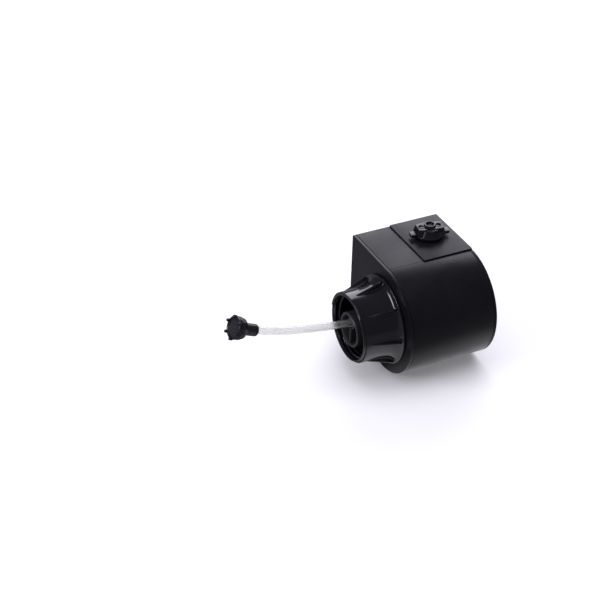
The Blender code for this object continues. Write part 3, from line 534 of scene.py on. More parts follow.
def fillet(outline, segs=4, closed=True):
    """Rounds each (u, v, radius) corner of an outline. Without a radius a corner stays sharp."""
    corners = [(*point, 0.0)[:3] for point in outline]
    count = len(corners)
    out = []
    for i, (u, v, radius) in enumerate(corners):
        if radius <= 0 or (not closed and i in (0, count - 1)):
            out.append((u, v))
            continue
        corner = np.array((u, v))
        back = np.array(corners[(i - 1) % count][:2]) - corner
        ahead = np.array(corners[(i + 1) % count][:2]) - corner
        back_length, ahead_length = np.linalg.norm(back), np.linalg.norm(ahead)
        back, ahead = back / back_length, ahead / ahead_length
        half = math.acos(float(np.clip(back @ ahead, -1, 1))) / 2
        if half > math.pi / 2 - 0.02:  # nearly straight
            out.append((u, v))
            continue
        setback = min(radius / math.tan(half), back_length * 0.49, ahead_length * 0.49)
        radius = setback * math.tan(half)
        middle = back + ahead
        centre = corner + middle / np.linalg.norm(middle) * (radius / math.sin(half))
        start = corner + back * setback - centre
        end = corner + ahead * setback - centre
        turn = math.atan2(start[0] * end[1] - start[1] * end[0], start @ end)
        for k in range(segs + 1):
            c, s = math.cos(turn * k / segs), math.sin(turn * k / segs)
            u, v = start[0] * c - start[1] * s, start[0] * s + start[1] * c
            out.append((centre[0] + u, centre[1] + v))
    return out


def basis(axis, origin):
    """The rotation that takes Z to the axis, and the origin, as arrays."""
    turn = Vector(Z_AXIS).rotation_difference(Vector(axis).normalized()).to_matrix()
    return np.array(turn), np.array(origin, float)


def round_angles(sides):
    return np.arange(sides) * TAU / sides


def turned_rows(outline, sides, origin, axis, shape=None):
    turn, at = basis(axis, origin)
    rows = []
    for radius, height in outline:
        row = []
        for angle in round_angles(sides):
            r = radius if shape is None else shape(angle, radius, height)
            row.append((r * math.cos(angle), r * math.sin(angle), height))
        rows.append(np.array(row) @ turn.T + at)
    return rows


def lathe(outline, sides, segs=4, origin=(0, 0, 0), axis=Y_AXIS, shape=None):
    """Turns a (radius, height, rounding) outline about an axis.

    An outline that starts on the axis must end there too. Any other is closed into a ring.
    shape(angle, radius, height) may return a changed radius.
    """
    ring = outline[0][0] > 0
    return loft(
        turned_rows(fillet(outline, segs, closed=ring), sides, origin, axis, shape), loop=ring
    )


def cylinder(radius, low, high, sides=48, origin=(0, 0, 0), axis=Y_AXIS, end_radius=None):
    end = radius if end_radius is None else end_radius
    return loft(turned_rows(((radius, low), (end, high)), sides, origin, axis), loop=False)


def cylinders(places, radius, low, high, sides, end_radius=None):
    """One cylinder along Y at each (x, z) place."""
    return [
        cylinder(radius, low, high, sides, (x, 0, z), end_radius=end_radius) for x, z in places
    ]


def block(x, y, z, radius=0.0, segs=3, axis=2, edge=0.0):
    """A box with its corners rounded about the axis and its edges at both ends softened."""
    spans = [x, y, z]
    low, high = spans.pop(axis)
    (u0, u1), (v0, v1) = spans

    def ring(inset, height):
        r = max(radius - inset, 0.02)
        left, right, near, far = u0 + inset, u1 - inset, v0 + inset, v1 - inset
        corners = [(left, near, r), (right, near, r), (right, far, r), (left, far, r)]
        out = []
        for point in fillet(corners, segs):
            point = list(point)
            point.insert(axis, height)
            out.append(point)
        return out

    if not edge:
        return loft([ring(0.0, low), ring(0.0, high)], loop=False)
    # Along the quarter turn: how far in, and how far from the end.
    turns = [math.pi / 2 * k / 3 for k in range(4)]
    steps = [(edge * (1 - math.sin(a)), edge * (1 - math.cos(a))) for a in turns]
    rows = [ring(inset, low + rise) for inset, rise in steps]
    rows += [ring(inset, high - rise) for inset, rise in reversed(steps)]
    return loft(rows, loop=False)


def sweep(path, radius, sides, inner=None):
    """A round rod along a path, with parallel-transported rings. inner gives a bore."""
    path = [Vector(point) for point in path]
    last = len(path) - 1
    tangents = [
        (path[min(i + 1, last)] - path[max(i - 1, 0)]).normalized() for i in range(last + 1)
    ]
    normal = tangents[0].orthogonal().normalized()
    frames = []
    for i, tangent in enumerate(tangents):
        if i:
            normal = (tangents[i - 1].rotation_difference(tangent) @ normal).normalized()
        frames.append((normal.copy(), tangent.cross(normal).normalized()))

    def ring(i, r, shift=0.0):
        across, up = frames[i]
        centre = path[i] + tangents[i] * shift
        return [
            tuple(centre + (across * math.cos(a) + up * math.sin(a)) * r)
            for a in round_angles(sides)
        ]

    chamfer = min(0.25, radius * 0.15)
    rows = [ring(0, radius - chamfer), ring(0, radius, chamfer)]
    rows += [ring(i, radius) for i in range(1, last)]
    rows += [ring(last, radius, -chamfer), ring(last, radius - chamfer)]
    if inner is None:
        return loft(rows, loop=False)
    rows += [ring(i, inner) for i in range(last, -1, -1)]
    return loft(rows)


def catmull_rom(points, steps):
    """A smooth curve through vectors, with this many steps per span."""
    points = [2 * points[0] - points[1]] + points + [2 * points[-1] - points[-2]]
    out = []
    for i in range(1, len(points) - 2):
        a, b, c, d = points[i - 1 : i + 3]
        for k in range(steps):
            t = k / steps
            square = (2 * a - 5 * b + 4 * c - d) * t * t
            cube = (3 * b - a - 3 * c + d) * t**3
            out.append(0.5 * (2 * b + (c - a) * t + square + cube))
    return out + [points[-2]]


def smoothstep(x, low, high):
    t = min(max((x - low) / (high - low), 0.0), 1.0)
    return t * t * (3 - 2 * t)


def cad_spans(node):
    """The (low, high) of a CAD node in x, y and z."""
    low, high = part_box(node)
    return (low.x / MM, high.x / MM), (low.y / MM, high.y / MM), (low.z / MM, high.z / MM)


# ------------------------------------------------------------------ housing section
SHELL_X, SHELL_Y, SHELL_Z = cad_spans("main_shell")
ROUND_R = SHELL_Z[1]
PANEL_FRONT = cad_spans("front_panel")[1][0]
PANEL_BACK = PANEL_FRONT + 2.5
COVER_FRONT, COVER_BACK = -2.5, 0.0
WALL = 2.5
CORNER_R = 1.2
SKIRT = (2.82, 4.3)  # insets of the rim that locates the panel and cover inside the shell
DOOR_X, DOOR_Y, DOOR_Z = cad_spans("battery_door")
STEM_X, STEM_Y, _ = cad_spans("nozzle_stem")
NOZZLE = (sum(STEM_X) / 2, sum(STEM_Y) / 2)
NOZZLE_HOLE_R = 6.0
BUTTON_X, _, BUTTON_Z = cad_spans("power_button")
BUTTON = (sum(BUTTON_X) / 2, 0, sum(BUTTON_Z) / 2)

# (x, z) of the screw pillars, and of the cover's long bosses and thin posts.
PILLARS = ((-52.0, 39.0), (-52.0, -22.0), (26.0, 31.0), (26.0, -31.0))
BOSSES = ((-15.5, 12.0), (34.0, 13.0), (34.0, -19.0))
POSTS = ((-45.0, -12.0), (-24.0, 28.0))


def housing_ring(inset, y):
    """The D section at y, from the lower flat-side corner round the arc and back."""
    arc_steps, corner_steps, flat_steps = 112, 5, 5
    r = ROUND_R - inset
    left = SHELL_X[0] + inset
    c = max(CORNER_R - inset, 0.25)

    def corner(start, z):
        angles = [start + math.pi / 2 * k / corner_steps for k in range(corner_steps + 1)]
        return [(left + c + c * math.cos(a), y, z + c * math.sin(a)) for a in angles]

    points = corner(math.pi, -r + c)
    for k in range(1, flat_steps):
        points.append((left + c + (-left - c) * k / flat_steps, y, -r))
    for k in range(arc_steps + 1):
        a = -math.pi / 2 + math.pi * k / arc_steps
        points.append((r * math.cos(a), y, r * math.sin(a)))
    for k in range(1, flat_steps):
        points.append(((left + c) * k / flat_steps, y, r))
    points += corner(math.pi / 2, r - c)
    for k in range(1, flat_steps):
        points.append((left, y, (r - c) * (1 - k / 2.5)))
    return points


def housing_shape(outline, segs, closed):
    """Runs an (inset, y, rounding) outline round the section. An open one gets flat ends."""
    rings = [housing_ring(inset, y) for inset, y in fillet(outline, segs, closed)]
    return loft(rings, loop=closed)


def nozzle_cylinder(radius, low, high, sides=48):
    return cylinder(radius, low, high, sides, (*NOZZLE, 0), Z_AXIS)


# ------------------------------------------------------------------ main shell
shell_outline = (
    (0.0, SHELL_Y[0], 0.3),
    (0.0, SHELL_Y[1], 0.3),
    (WALL, SHELL_Y[1], 0.15),
    (WALL, SHELL_Y[0], 0.15),
)
shell = piece(
    "housing_shell",
    housing_shape(shell_outline, segs=3, closed=True),
    SATIN,
    "main_shell",
    body="housing",
)
DOOR_GAP = 0.3
door_opening = block(
    (DOOR_X[0] - DOOR_GAP, DOOR_X[1] + DOOR_GAP),
    (DOOR_Y[0] - DOOR_GAP, DOOR_Y[1] + DOOR_GAP),
    (-49.0, -43.0),
    radius=1.3,
    segs=4,
)
# A groove along the top where the flat meets the arc: (x, height over the top face).
GROOVE = ((-0.75, 0.4), (-0.32, -0.22), (-0.18, -0.22), (0.25, 0.4))
groove = loft(
    [
        [(x, y, ROUND_R + rise) for x, rise in GROOVE]
        for y in (SHELL_Y[0] - 1.0, SHELL_Y[1] + 1.0)
    ],
    loop=False,
)
cut(shell, [door_opening, nozzle_cylinder(NOZZLE_HOLE_R, 42.0, 49.0), groove])

# ------------------------------------------------------------------ front panel
PANEL_SKIRT_Y = -74.5
panel_outline = (
    (1.0, PANEL_FRONT),
    (0.0, PANEL_FRONT, 0.22),
    (0.0, PANEL_BACK, 0.25),
    (SKIRT[0], PANEL_BACK, 0.1),
    (SKIRT[0], PANEL_SKIRT_Y, 0.2),
    (SKIRT[1], PANEL_SKIRT_Y, 0.2),
    (SKIRT[1], PANEL_BACK + 0.02),
)
panel = piece(
    "front_panel_moulding",
    housing_shape(panel_outline, segs=3, closed=False),
    SATIN,
    "front_panel",
    body="housing",
)
join(panel, cylinders(PILLARS, 3.7, -78.5, -5.6, sides=32, end_radius=3.3))
pillar_bores = cylinders(PILLARS, 1.6, -18.0, -4.0, sides=20)
cut(panel, [cylinder(14.3, -82.0, -70.0, sides=72), *pillar_bores])

# ------------------------------------------------------------------ rear cover
COVER_SKIRT_Y = -5.3
cover_outline = (
    (SKIRT[1], COVER_FRONT - 0.02),
    (SKIRT[1], COVER_SKIRT_Y, 0.2),
    (SKIRT[0], COVER_SKIRT_Y, 0.2),
    (SKIRT[0], COVER_FRONT, 0.1),
    (0.0, COVER_FRONT, 0.3),
    (0.0, COVER_BACK, 0.7),
    (1.2, COVER_BACK),
)
cover = piece(
    "rear_cover_moulding",
    housing_shape(cover_outline, segs=4, closed=False),
    SATIN,
    "rear_cover",
    body="housing",
)
COVER_ROOT = -1.5  # bosses start inside the cover's thickness
join(
    cover,
    cylinders(PILLARS, 3.5, COVER_SKIRT_Y, COVER_ROOT, sides=32)
    + cylinders(BOSSES, 2.8, -10.7, COVER_ROOT, sides=28, end_radius=3.4)
    + cylinders(POSTS, 1.9, -8.5, COVER_ROOT, sides=24, end_radius=2.2),
)
# Cutters as (radius, y, rounding).
COUNTERBORE = (
    (0, -7.0), (1.6, -7.0), (1.6, -2.2, 0.05), (3.1, -2.2, 0.2),
    (3.1, -0.3), (3.5, 0.4), (3.5, 1.0), (0, 1.0),
)
BUTTON_HOLE = (
    (0, -4.0), (6.3, -4.0), (6.3, -0.9, 0.2), (8.4, -0.35, 0.6),
    (8.9, 0.2), (8.9, 1.0), (0, 1.0),
)
cut(
    cover,
    [lathe(COUNTERBORE, sides=40, segs=3, origin=(x, 0, z)) for x, z in PILLARS]
    + cylinders(BOSSES, 1.4, -12.0, -4.5, sides=20)
    + [lathe(BUTTON_HOLE, sides=72, origin=BUTTON)],
)

# ------------------------------------------------------------------ nozzle plate
PLATE_X, PLATE_Y, PLATE_Z = cad_spans("nozzle_plate")
plate = piece(
    "nozzle_plate_moulding",
    block(PLATE_X, PLATE_Y, (ROUND_R + 0.03, PLATE_Z[1]), radius=0.9, segs=5, edge=0.28),
    SATIN_PLATE,
    "nozzle_plate",
    body="housing",
)
cut(plate, [nozzle_cylinder(NOZZLE_HOLE_R, 40.0, 55.0)])

# ------------------------------------------------------------------ collar
# A flange at the back, a concave ribbed flank, a shoulder and lip in front, a thread inside.
LIP_Y = cad_spans("collar")[1][0]
SHOULDER_Y = -111.3
BORE_R = 14.3
INNER_R = 26.6
FLANK_YS = [
    -82.25, -82.5, -82.8, -83.2, -83.6, -84.0, -84.4, -84.8, -85.2, -85.6,
    -86.0, -86.6, -87.4, -88.4, -89.6, -91.0, -92.6, -94.4, -96.4, -98.6,
    -100.8, -103.0, -104.6, -105.6, -106.2, -106.6, -106.9, -107.4, -109.0, -110.6,
]
# (y, radius) stations of the flank between the ribs.
FLANK = (
    (-111.3, 30.1), (-104.0, 30.28), (-97.0, 30.62), (-91.5, 31.35),
    (-87.2, 32.55), (-84.6, 34.1), (-83.1, 35.9), (-82.3, 37.6),
)
INNER_YS = [-111.2, -110.8, *np.arange(-110.4, -101.0, 0.30)]
INNER_YS += [-100.6, -99.8, -98.0, -94.0, -89.0, -85.5]

RIBS = 8
RIB_SPACING = TAU / RIBS
RIB_TIP_Y, RIB_FULL_Y = -106.8, -84.8
RIB_TIP_R, RIB_FULL_R = 30.2, 37.3
RIB_MEASURE_R = 33.0  # offsets across a rib are measured along this circle
RIB_HALF_ANGLE = 0.062
# (offset from the rib's middle, share of its full rise)
RIB_SECTION = (
    (0.0, 1.0), (0.45, 1.0), (0.66, 0.97), (0.80, 0.86), (0.92, 0.62),
    (1.02, 0.34), (1.20, 0.12), (1.48, 0.03), (1.90, 0.0),
)

THREAD_PITCH = 4.23
THREAD_START_Y = -109.0
THREAD_SWEEP = TAU * 1.5
THREAD_CREST_R = 25.35
THREAD_FADE = 0.35  # angle over which each end of the thread runs out

# Degrees round the collar.
LIP_RISE = (44.2, 45.4)
LIP_FALL = (170.0, 171.4)
TEETH_RISE = (46.5, 47.5)
TEETH_FALL = (75.5, 76.5)
TOOTH_PITCH = 1.95


def rib_radius(y):
    if y < RIB_TIP_Y:
        return 0.0
    r = RIB_FULL_R
    if y < RIB_FULL_Y:
        share = (y - RIB_TIP_Y) / (RIB_FULL_Y - RIB_TIP_Y)
        r = RIB_TIP_R + (RIB_FULL_R - RIB_TIP_R) * share
    corner = min(max((y + 86.2) / 1.9, 0.0), 1.0)
    return r - 0.55 * corner**2


def flank_stations():
    """(y, radius, rise of a rib over it) down the flank."""
    ys, radii = zip(*catmull_rom([np.array(p, float) for p in FLANK], steps=12))
    out = []
    for y in FLANK_YS:
        base = float(np.interp(y, ys, radii))
        out.append((y, base, max(rib_radius(y) - base, 0.0)))
    return out


FLANK_STATIONS = flank_stations()


def rib_share(theta):
    angle = abs((theta + RIB_SPACING / 2) % RIB_SPACING - RIB_SPACING / 2)
    return float(np.interp(angle * RIB_MEASURE_R, *zip(*RIB_SECTION)))


def thread_radius(theta, y):
    """The inner wall, with the rounded ridge that winds back from the lip."""
    best = INNER_R
    for turn in range(-1, 3):
        angle = (-theta) % TAU + turn * TAU
        if angle < 0 or angle > THREAD_SWEEP:
            continue
        off = abs(y - (THREAD_START_Y + THREAD_PITCH * angle / TAU))
        ends = min(
            smoothstep(angle, 0.0, THREAD_FADE), smoothstep(THREAD_SWEEP - angle, 0.0, THREAD_FADE)
        )
        rise = 1.0 - smoothstep(off, 0.42, 1.25)
        best = min(best, INNER_R - (INNER_R - THREAD_CREST_R) * rise * ends)
    return best


def arc_window(theta, rise, fall):
    degrees = math.degrees(theta) % 360
    return min(smoothstep(degrees, *rise), 1.0 - smoothstep(degrees, *fall))


def lip_tooth(theta):
    """Small teeth on the inner edge of the lip, over a short arc."""
    phase = (math.degrees(theta) % 360 - 47.0) / TOOTH_PITCH % 1.0
    window = arc_window(theta, TEETH_RISE, TEETH_FALL)
    return 0.55 * window * min(1.0, 2.6 * (0.5 - abs(phase - 0.5)))


def collar_angles():
    """Angles of the columns: close together over the teeth, the ribs and the lip's ends."""
    angles = [math.radians(46.8 + 0.325 * k) for k in range(92)]
    angles += [math.radians(degrees) for degrees in (*LIP_RISE, 44.8, *LIP_FALL, 170.7)]
    for i in range(RIBS):
        for offset, _ in RIB_SECTION:
            for sign in (1, -1):
                angles.append((i * RIB_SPACING + sign * offset / RIB_MEASURE_R) % TAU)
        for k in range(1, 24):
            gap = (RIB_SPACING - 2 * RIB_HALF_ANGLE) * k / 24
            angles.append(i * RIB_SPACING + RIB_HALF_ANGLE + gap)
    angles = sorted({round(angle, 6) for angle in angles})
    kept = [angles[0]]
    for angle in angles[1:]:
        if angle - kept[-1] > 0.0008:
            kept.append(angle)
    return kept


def collar_outline(theta):
    """The closed (radius, y) outline at this angle."""
    up = arc_window(theta, LIP_RISE, LIP_FALL)  # 1 where the outer wall stands up to the lip
    down = 1 - up
    share = rib_share(theta)
    tooth = lip_tooth(theta)
    shoulder = SHOULDER_Y + (LIP_Y + 0.12 - SHOULDER_Y) * up
    flange = [
        (BORE_R, -80.3), (37.5, -80.3), (37.85, -80.42),
        (38.0, -80.75), (38.0, -81.7), (37.9, -82.05),
    ]
    flank = [(base + rise * share, y) for y, base, rise in FLANK_STATIONS]
    front = [
        (30.08, shoulder + 0.55),
        (30.08, shoulder + 0.30),
        (29.98, shoulder + 0.10),
        (29.78, shoulder),
        (29.3, shoulder),
        (28.85, shoulder),
        (28.66, shoulder - 0.05 * down),
        (28.6, shoulder - 0.25 * down),
        (28.55, LIP_Y + 0.32 * down + 0.08 * up),
        (28.44, LIP_Y + 0.1 * down + 0.05 * up),
        (28.2, LIP_Y),
        (27.6, LIP_Y),
        (27.34, LIP_Y + 0.1),
        (27.22 - tooth, LIP_Y + 0.30),
        (27.15 - tooth, LIP_Y + 0.62),
        (26.9 - 0.8 * tooth, -111.65),
        (26.65 - 0.3 * tooth, -111.4),
    ]
    inside = [(thread_radius(theta, y), y) for y in INNER_YS]
    floor_points = [(INNER_R, -84.1), (26.4, -83.5), (25.8, -83.3), (BORE_R, -83.3)]
    return flange + flank + front + inside + floor_points


collar_rows = [
    [(r * math.cos(theta), y, r * math.sin(theta)) for r, y in collar_outline(theta)]
    for theta in collar_angles()
]
piece("collar_moulding", loft(collar_rows), GLOSS, "collar", sharp=42.0)

# ------------------------------------------------------------------ pickup insert
BOSS_Y = cad_spans("pickup_insert")[1][0]
FLOOR_Y = BOSS_Y + 8.0
PORT_Z = 4.0
PORT = (0, 0, PORT_Z)
CUP_Z = -2.3
WEB_BACK = FLOOR_Y + 0.7  # spoke and wings sink this far into the cup's floor

# Outlines as (radius, y, rounding).
INSERT_BODY = (
    (0, -71.0), (14.0, -71.0, 0.4), (14.0, -83.6, 0.2),
    (25.0, -83.6, 0.3), (25.0, -86.1, 0.4), (0, -86.1),
)
CUP = (
    (0, -84.5), (15.6, -84.5), (15.6, -86.4, 0.6), (15.1, -87.4, 0.6), (15.05, BOSS_Y, 0.5),
    (12.75, BOSS_Y, 0.4), (12.25, FLOOR_Y, 0.9), (0, FLOOR_Y),
)
SLEEVE = (
    (0, FLOOR_Y + 1.0), (5.6, FLOOR_Y + 1.0), (5.25, BOSS_Y + 1.5, 0.5), (0, BOSS_Y + 1.5),
)
BARB = (
    (0, -72.0), (2.2, -72.0), (2.2, -65.0),
    (2.7, -64.8, 0.1), (2.0, -62.0, 0.3), (0, -62.0),
)
PORT_HOLE = (
    (0, -96.0), (3.45, -96.0), (3.45, BOSS_Y + 2.1),
    (4.0, BOSS_Y + 1.2), (4.4, BOSS_Y), (0, BOSS_Y),
)
insert = piece(
    "pickup_insert_moulding",
    lathe(INSERT_BODY, sides=144),
    INSERT_BLACK,
    "pickup_insert",
)
wing = block((-0.7, 0.7), (BOSS_Y + 2.4, WEB_BACK), (-11.2, 0.0), radius=0.35, segs=4)
at_port = Matrix.Translation((0, 0, PORT_Z * MM))
join(
    insert,
    [
        lathe(CUP, sides=144, origin=(0, 0, CUP_Z)),
        lathe(SLEEVE, sides=56, origin=PORT),
        block((-0.9, 0.9), (BOSS_Y + 0.9, WEB_BACK), (-15.6, 1.0), radius=0.4, segs=4),
        *(tool(wing, at_port @ Matrix.Rotation(side * 1.95, 4, "Y")) for side in (-1, 1)),
        lathe(BARB, sides=32, segs=3, origin=PORT),
    ],
)
# The port, the passage behind it and two slots through the cup's floor.
slots = [
    block(x, (FLOOR_Y - 1.0, -76.0), (-10.8, -3.6), radius=0.6, axis=1)
    for x in ((-5.9, -2.3), (2.3, 5.9))
]
port = lathe(PORT_HOLE, sides=48, segs=3, origin=PORT)
cut(insert, [port, cylinder(1.4, -97.0, -60.0, sides=24, origin=PORT), *slots])

# ------------------------------------------------------------------ neck gasket
_, GASKET_Y, _ = cad_spans("neck_gasket")
GASKET_IN, GASKET_OUT, GASKET_ROUND = 18.2, 24.6, 0.35
gasket_outline = (
    (GASKET_IN, GASKET_Y[0], GASKET_ROUND),
    (GASKET_OUT, GASKET_Y[0], GASKET_ROUND),
    (GASKET_OUT, GASKET_Y[1], GASKET_ROUND),
    (GASKET_IN, GASKET_Y[1], GASKET_ROUND),
)
piece(
    "neck_gasket_ring",
    lathe(gasket_outline, sides=96),
    BLACK_RUBBER,
    "neck_gasket",
)

# ------------------------------------------------------------------ suction tube
TUBE_R, TUBE_BORE_R = 3.175, 2.1
TUBE_BEND_Y = -112.0
TUBE_END_Y = -198.2


def tube_point(y):
    """The bent part of the tube's centre line: a rise, and a sway that grows to the end."""
    s = (-y - 110.0) / 100.0
    sway = 7.1 * (s / 0.9) ** 3
    rise = 11.3 * s - 3.5 * s * s + 14.2 * s**3
    start = Vector((0, y, PORT_Z + 0.2))
    return start + Vector((-0.28, 0.0, 0.96)) * rise + Vector((0.69, -0.46, 0.56)) * sway


# The strainer's own axis, and the origin its heights are measured from.
FOOT_AXIS = (tube_point(TUBE_END_Y - 1.0) - tube_point(TUBE_END_Y)).normalized()
FOOT = tube_point(TUBE_END_Y) - FOOT_AXIS * 4.2

tube_points = [Vector((0, y, PORT_Z)) for y in (-96.5, -103.0, -109.6)]
tube_points += [
    tube_point(TUBE_BEND_Y + k * (TUBE_END_Y - TUBE_BEND_Y) / 12) for k in range(13)
]
tube_points.append(tube_point(TUBE_END_Y) + FOOT_AXIS * 1.5)
piece(
    "suction_tube_hollow",
    sweep(catmull_rom(tube_points, steps=6), TUBE_R, sides=40, inner=TUBE_BORE_R),
    TUBE_CLEAR,
    "suction_tube",
    sharp=60.0,
)

# ------------------------------------------------------------------ strainer
# Outlines as (radius, height along the foot's axis, rounding).
BELL = (
    (3.95, -2.2, 0.15), (4.6, -2.2, 0.35), (5.0, -1.4, 0.4), (5.05, -0.3, 0.15),
    (4.8, -0.1, 0.15), (4.8, 0.6, 0.15), (5.05, 0.8, 0.15), (5.0, 8.2, 0.6),
    (6.5, 9.3, 0.8), (8.3, 11.1, 1.2), (9.2, 13.0, 1.6), (9.45, 15.2, 0.9),
    (9.5, 17.4, 0.25), (8.2, 17.4, 0.15), (8.2, 13.4, 0.2), (7.2, 12.2, 0.2),
    (2.9, 12.2, 0.2), (2.9, 7.0), (1.6, 6.9), (1.6, 6.0),
    (3.5, 6.0), (3.5, -0.2, 0.3),
)
GRILLE_RING = (
    (7.7, 15.2, 0.15), (7.9, 17.7, 0.1), (9.5, 17.7, 0.25), (9.5, 19.3, 0.4),
    (8.9, 19.8, 0.3), (8.2, 19.5, 0.3), (7.5, 19.1, 0.2), (7.2, 15.2, 0.15),
)
GRILLE_LUG = ((0, 18.4), (1.30, 18.4, 0.3), (1.30, 21.4, 0.5), (0, 21.65))
SCREEN_RIM = ((6.9, 17.2, 0.15), (7.15, 17.2, 0.1), (7.6, 18.4, 0.15), (7.25, 18.55, 0.15))
SCREEN_DISC = ((0, 14.45), (7.8, 14.45), (7.8, 14.85), (0, 14.85))
LUG_CIRCLE_R = 9.0
FOOT_TURN, FOOT_AT = basis(FOOT_AXIS, FOOT)


def on_foot(x, y, z):
    return np.array([x, y, z]) @ FOOT_TURN.T + FOOT_AT


def foot_lathe(outline, sides, segs=4, origin=FOOT, shape=None):
    return lathe(outline, sides, segs, origin, FOOT_AXIS, shape)


def fluted(angle, r, height):
    """Twelve shallow flutes round the bell, none on the neck or at the rim."""
    rise, fall = smoothstep(height, 10.0, 12.4), smoothstep(height, 16.2, 17.2)
    depth = 0.3 * rise * (1 - fall) * (r > 8.5)
    wave = 0.5 + 0.5 * math.cos(12 * angle)
    return r - depth * (1 - wave**3)


piece(
    "strainer_bell",
    foot_lathe(BELL, sides=144, segs=5, shape=fluted),
    STRAINER_GREY,
    "strainer_body",
)

grille = piece(
    "strainer_ring",
    foot_lathe(GRILLE_RING, sides=96),
    STRAINER_GREY,
    "strainer_grille",
)
foot_matrix = np.eye(4)
foot_matrix[:3, :3] = FOOT_TURN
foot_matrix[:3, 3] = FOOT_AT * MM
foot_place = Matrix(foot_matrix.tolist())
grille_parts = []
for i in range(6):
    angle = i * math.pi / 3 + math.radians(52)
    spot = on_foot(LUG_CIRCLE_R * math.cos(angle), LUG_CIRCLE_R * math.sin(angle), 0.0)
    grille_parts.append(foot_lathe(GRILLE_LUG, sides=28, segs=5, origin=spot))
for i in range(3):
    # Each crossing bar is a little taller, so that no two faces coincide.
    bar = block((-7.7, 7.7), (-0.55, 0.55), (15.3, 17.1 + 0.05 * i), edge=0.2)
    grille_parts.append(tool(bar, foot_place @ Matrix.Rotation(i * math.pi / 3, 4, "Z")))
join(grille, grille_parts)

# ------------------------------------------------------------------ strainer screen
# Woven wires over a shallow dome, held in a rim, with a disc behind them.
SCREEN_R = 7.4
WIRE_R = 0.15
WIRE_PITCH = 0.74
WEAVE = 0.13


def woven_wire(axis, i):
    """The i-th wire off the middle, running along x (axis 0) or y (axis 1) of the foot."""
    offset = i * WIRE_PITCH
    half = math.sqrt(max(SCREEN_R**2 - offset**2, 0.0))
    if half < 0.8:
        return []
    steps = max(6, int(half * 2 / (WIRE_PITCH / 2)))
    sign = 1 if (i % 2 == 0) == (axis == 0) else -1
    line = []
    for k in range(steps + 1):
        t = -half + 2 * half * k / steps
        x, y = (t, offset) if axis == 0 else (offset, t)
        dome = 17.8 + 1.6 * (1 - (x * x + y * y) / 58.0)
        line.append(on_foot(x, y, dome + WEAVE * sign * math.cos(math.pi * t / WIRE_PITCH)))
    return [sweep(line, WIRE_R, sides=6)]


wire_count = int(SCREEN_R / WIRE_PITCH)
screen_shapes = []
for axis in (0, 1):
    for i in range(-wire_count, wire_count + 1):
        screen_shapes += woven_wire(axis, i)
screen_shapes.append(foot_lathe(SCREEN_RIM, sides=72, segs=3))
screen_shapes.append(foot_lathe(SCREEN_DISC, sides=48))
piece(
    "strainer_screen_weave",
    combined(screen_shapes),
    NYLON_MESH,
    "strainer_screen",
    tidy=False,
)

# ------------------------------------------------------------------ nozzle cap
CAP_BASE, CAP_TOP = cad_spans("nozzle_cap")[2]
CAP_R = 12.2
BAR_BASE = CAP_BASE + 1.9
BAR_TOP = CAP_BASE + 8.1
BAR_ROUND = 0.7
BAR_FOOT = (12.4, 7.5)  # half length and half width at the bar's foot
BAR_TAPER = (1.05, 1.35)  # how much each shrinks to the top
DIMPLE_X = 7.6
NOTCH_PITCH = 1.45
CAP_SHARP = 34.0
# The cap's own frame, with X along the grip bar.
cap_place = Matrix.Translation((NOZZLE[0] * MM, NOZZLE[1] * MM, 0)) @ Matrix.Rotation(
    math.radians(80.0), 4, "Z"
)
# Outlines as (radius, z, rounding).
CAP = (
    (0, CAP_BASE), (CAP_R, CAP_BASE, 0.25), (CAP_R, CAP_BASE + 1.55, 0.35),
    (11.2, CAP_BASE + 2.3, 0.6), (8.8, CAP_BASE + 7.2, 0.9), (5.2, CAP_BASE + 7.7, 0.5),
    (4.75, CAP_TOP, 0.5), (3.45, CAP_TOP, 0.35), (3.2, CAP_BASE + 8.0, 0.4),
    (1.7, CAP_BASE + 7.9, 0.3), (1.45, CAP_BASE + 8.7, 0.3), (0, CAP_BASE + 8.8),
)
DIMPLE = (
    (0, BAR_TOP - 1.35), (1.55, BAR_TOP - 1.3, 0.6), (2.15, BAR_TOP - 0.1, 0.2),
    (2.3, BAR_TOP + 1.0), (0, BAR_TOP + 1.0),
)
DIMPLE_LIP = (
    (2.12, BAR_TOP - 0.5), (3.05, BAR_TOP - 0.5),
    (3.0, BAR_TOP + 0.28, 0.25), (2.2, BAR_TOP + 0.28, 0.25),
)


def cap_tool(shape, turned=0.0):
    return tool(shape, cap_place @ Matrix.Rotation(turned, 4, "Z"))


def on_bar(outline, sides, side):
    """A turned shape at one end of the grip bar."""
    return cap_tool(lathe(outline, sides, origin=(DIMPLE_X * side, 0, 0), axis=Z_AXIS))


def grip_bar():
    """A tapering bar with rounded ends and softened top edges."""
    (foot_x, foot_y), (taper_x, taper_y) = BAR_FOOT, BAR_TAPER
    levels = [
        (BAR_BASE + 5.5 * k / 6, foot_x - taper_x * k / 6, foot_y - taper_y * k / 6, 0.0)
        for k in range(7)
    ]
    for k in range(1, 6):
        a = math.pi / 2 * k / 5
        z = BAR_TOP - BAR_ROUND + BAR_ROUND * math.sin(a)
        levels.append((z, foot_x - taper_x, foot_y - taper_y, BAR_ROUND * (1 - math.cos(a))))
    rows = []
    for z, half_x, half_y, inset in levels:
        tip, side, bend = half_x - inset, half_y - inset, half_x - 3.4
        half = [(tip, side - 1.0, 1.6), (bend, side, 3.0)]
        half += [(-bend, side, 3.0), (-tip, side - 1.0, 1.6)]
        outline = fillet(half + [(-u, -v, rounding) for u, v, rounding in half], segs=5)
        rows.append([(x, y, z) for x, y in outline])
    return loft(rows, loop=False)


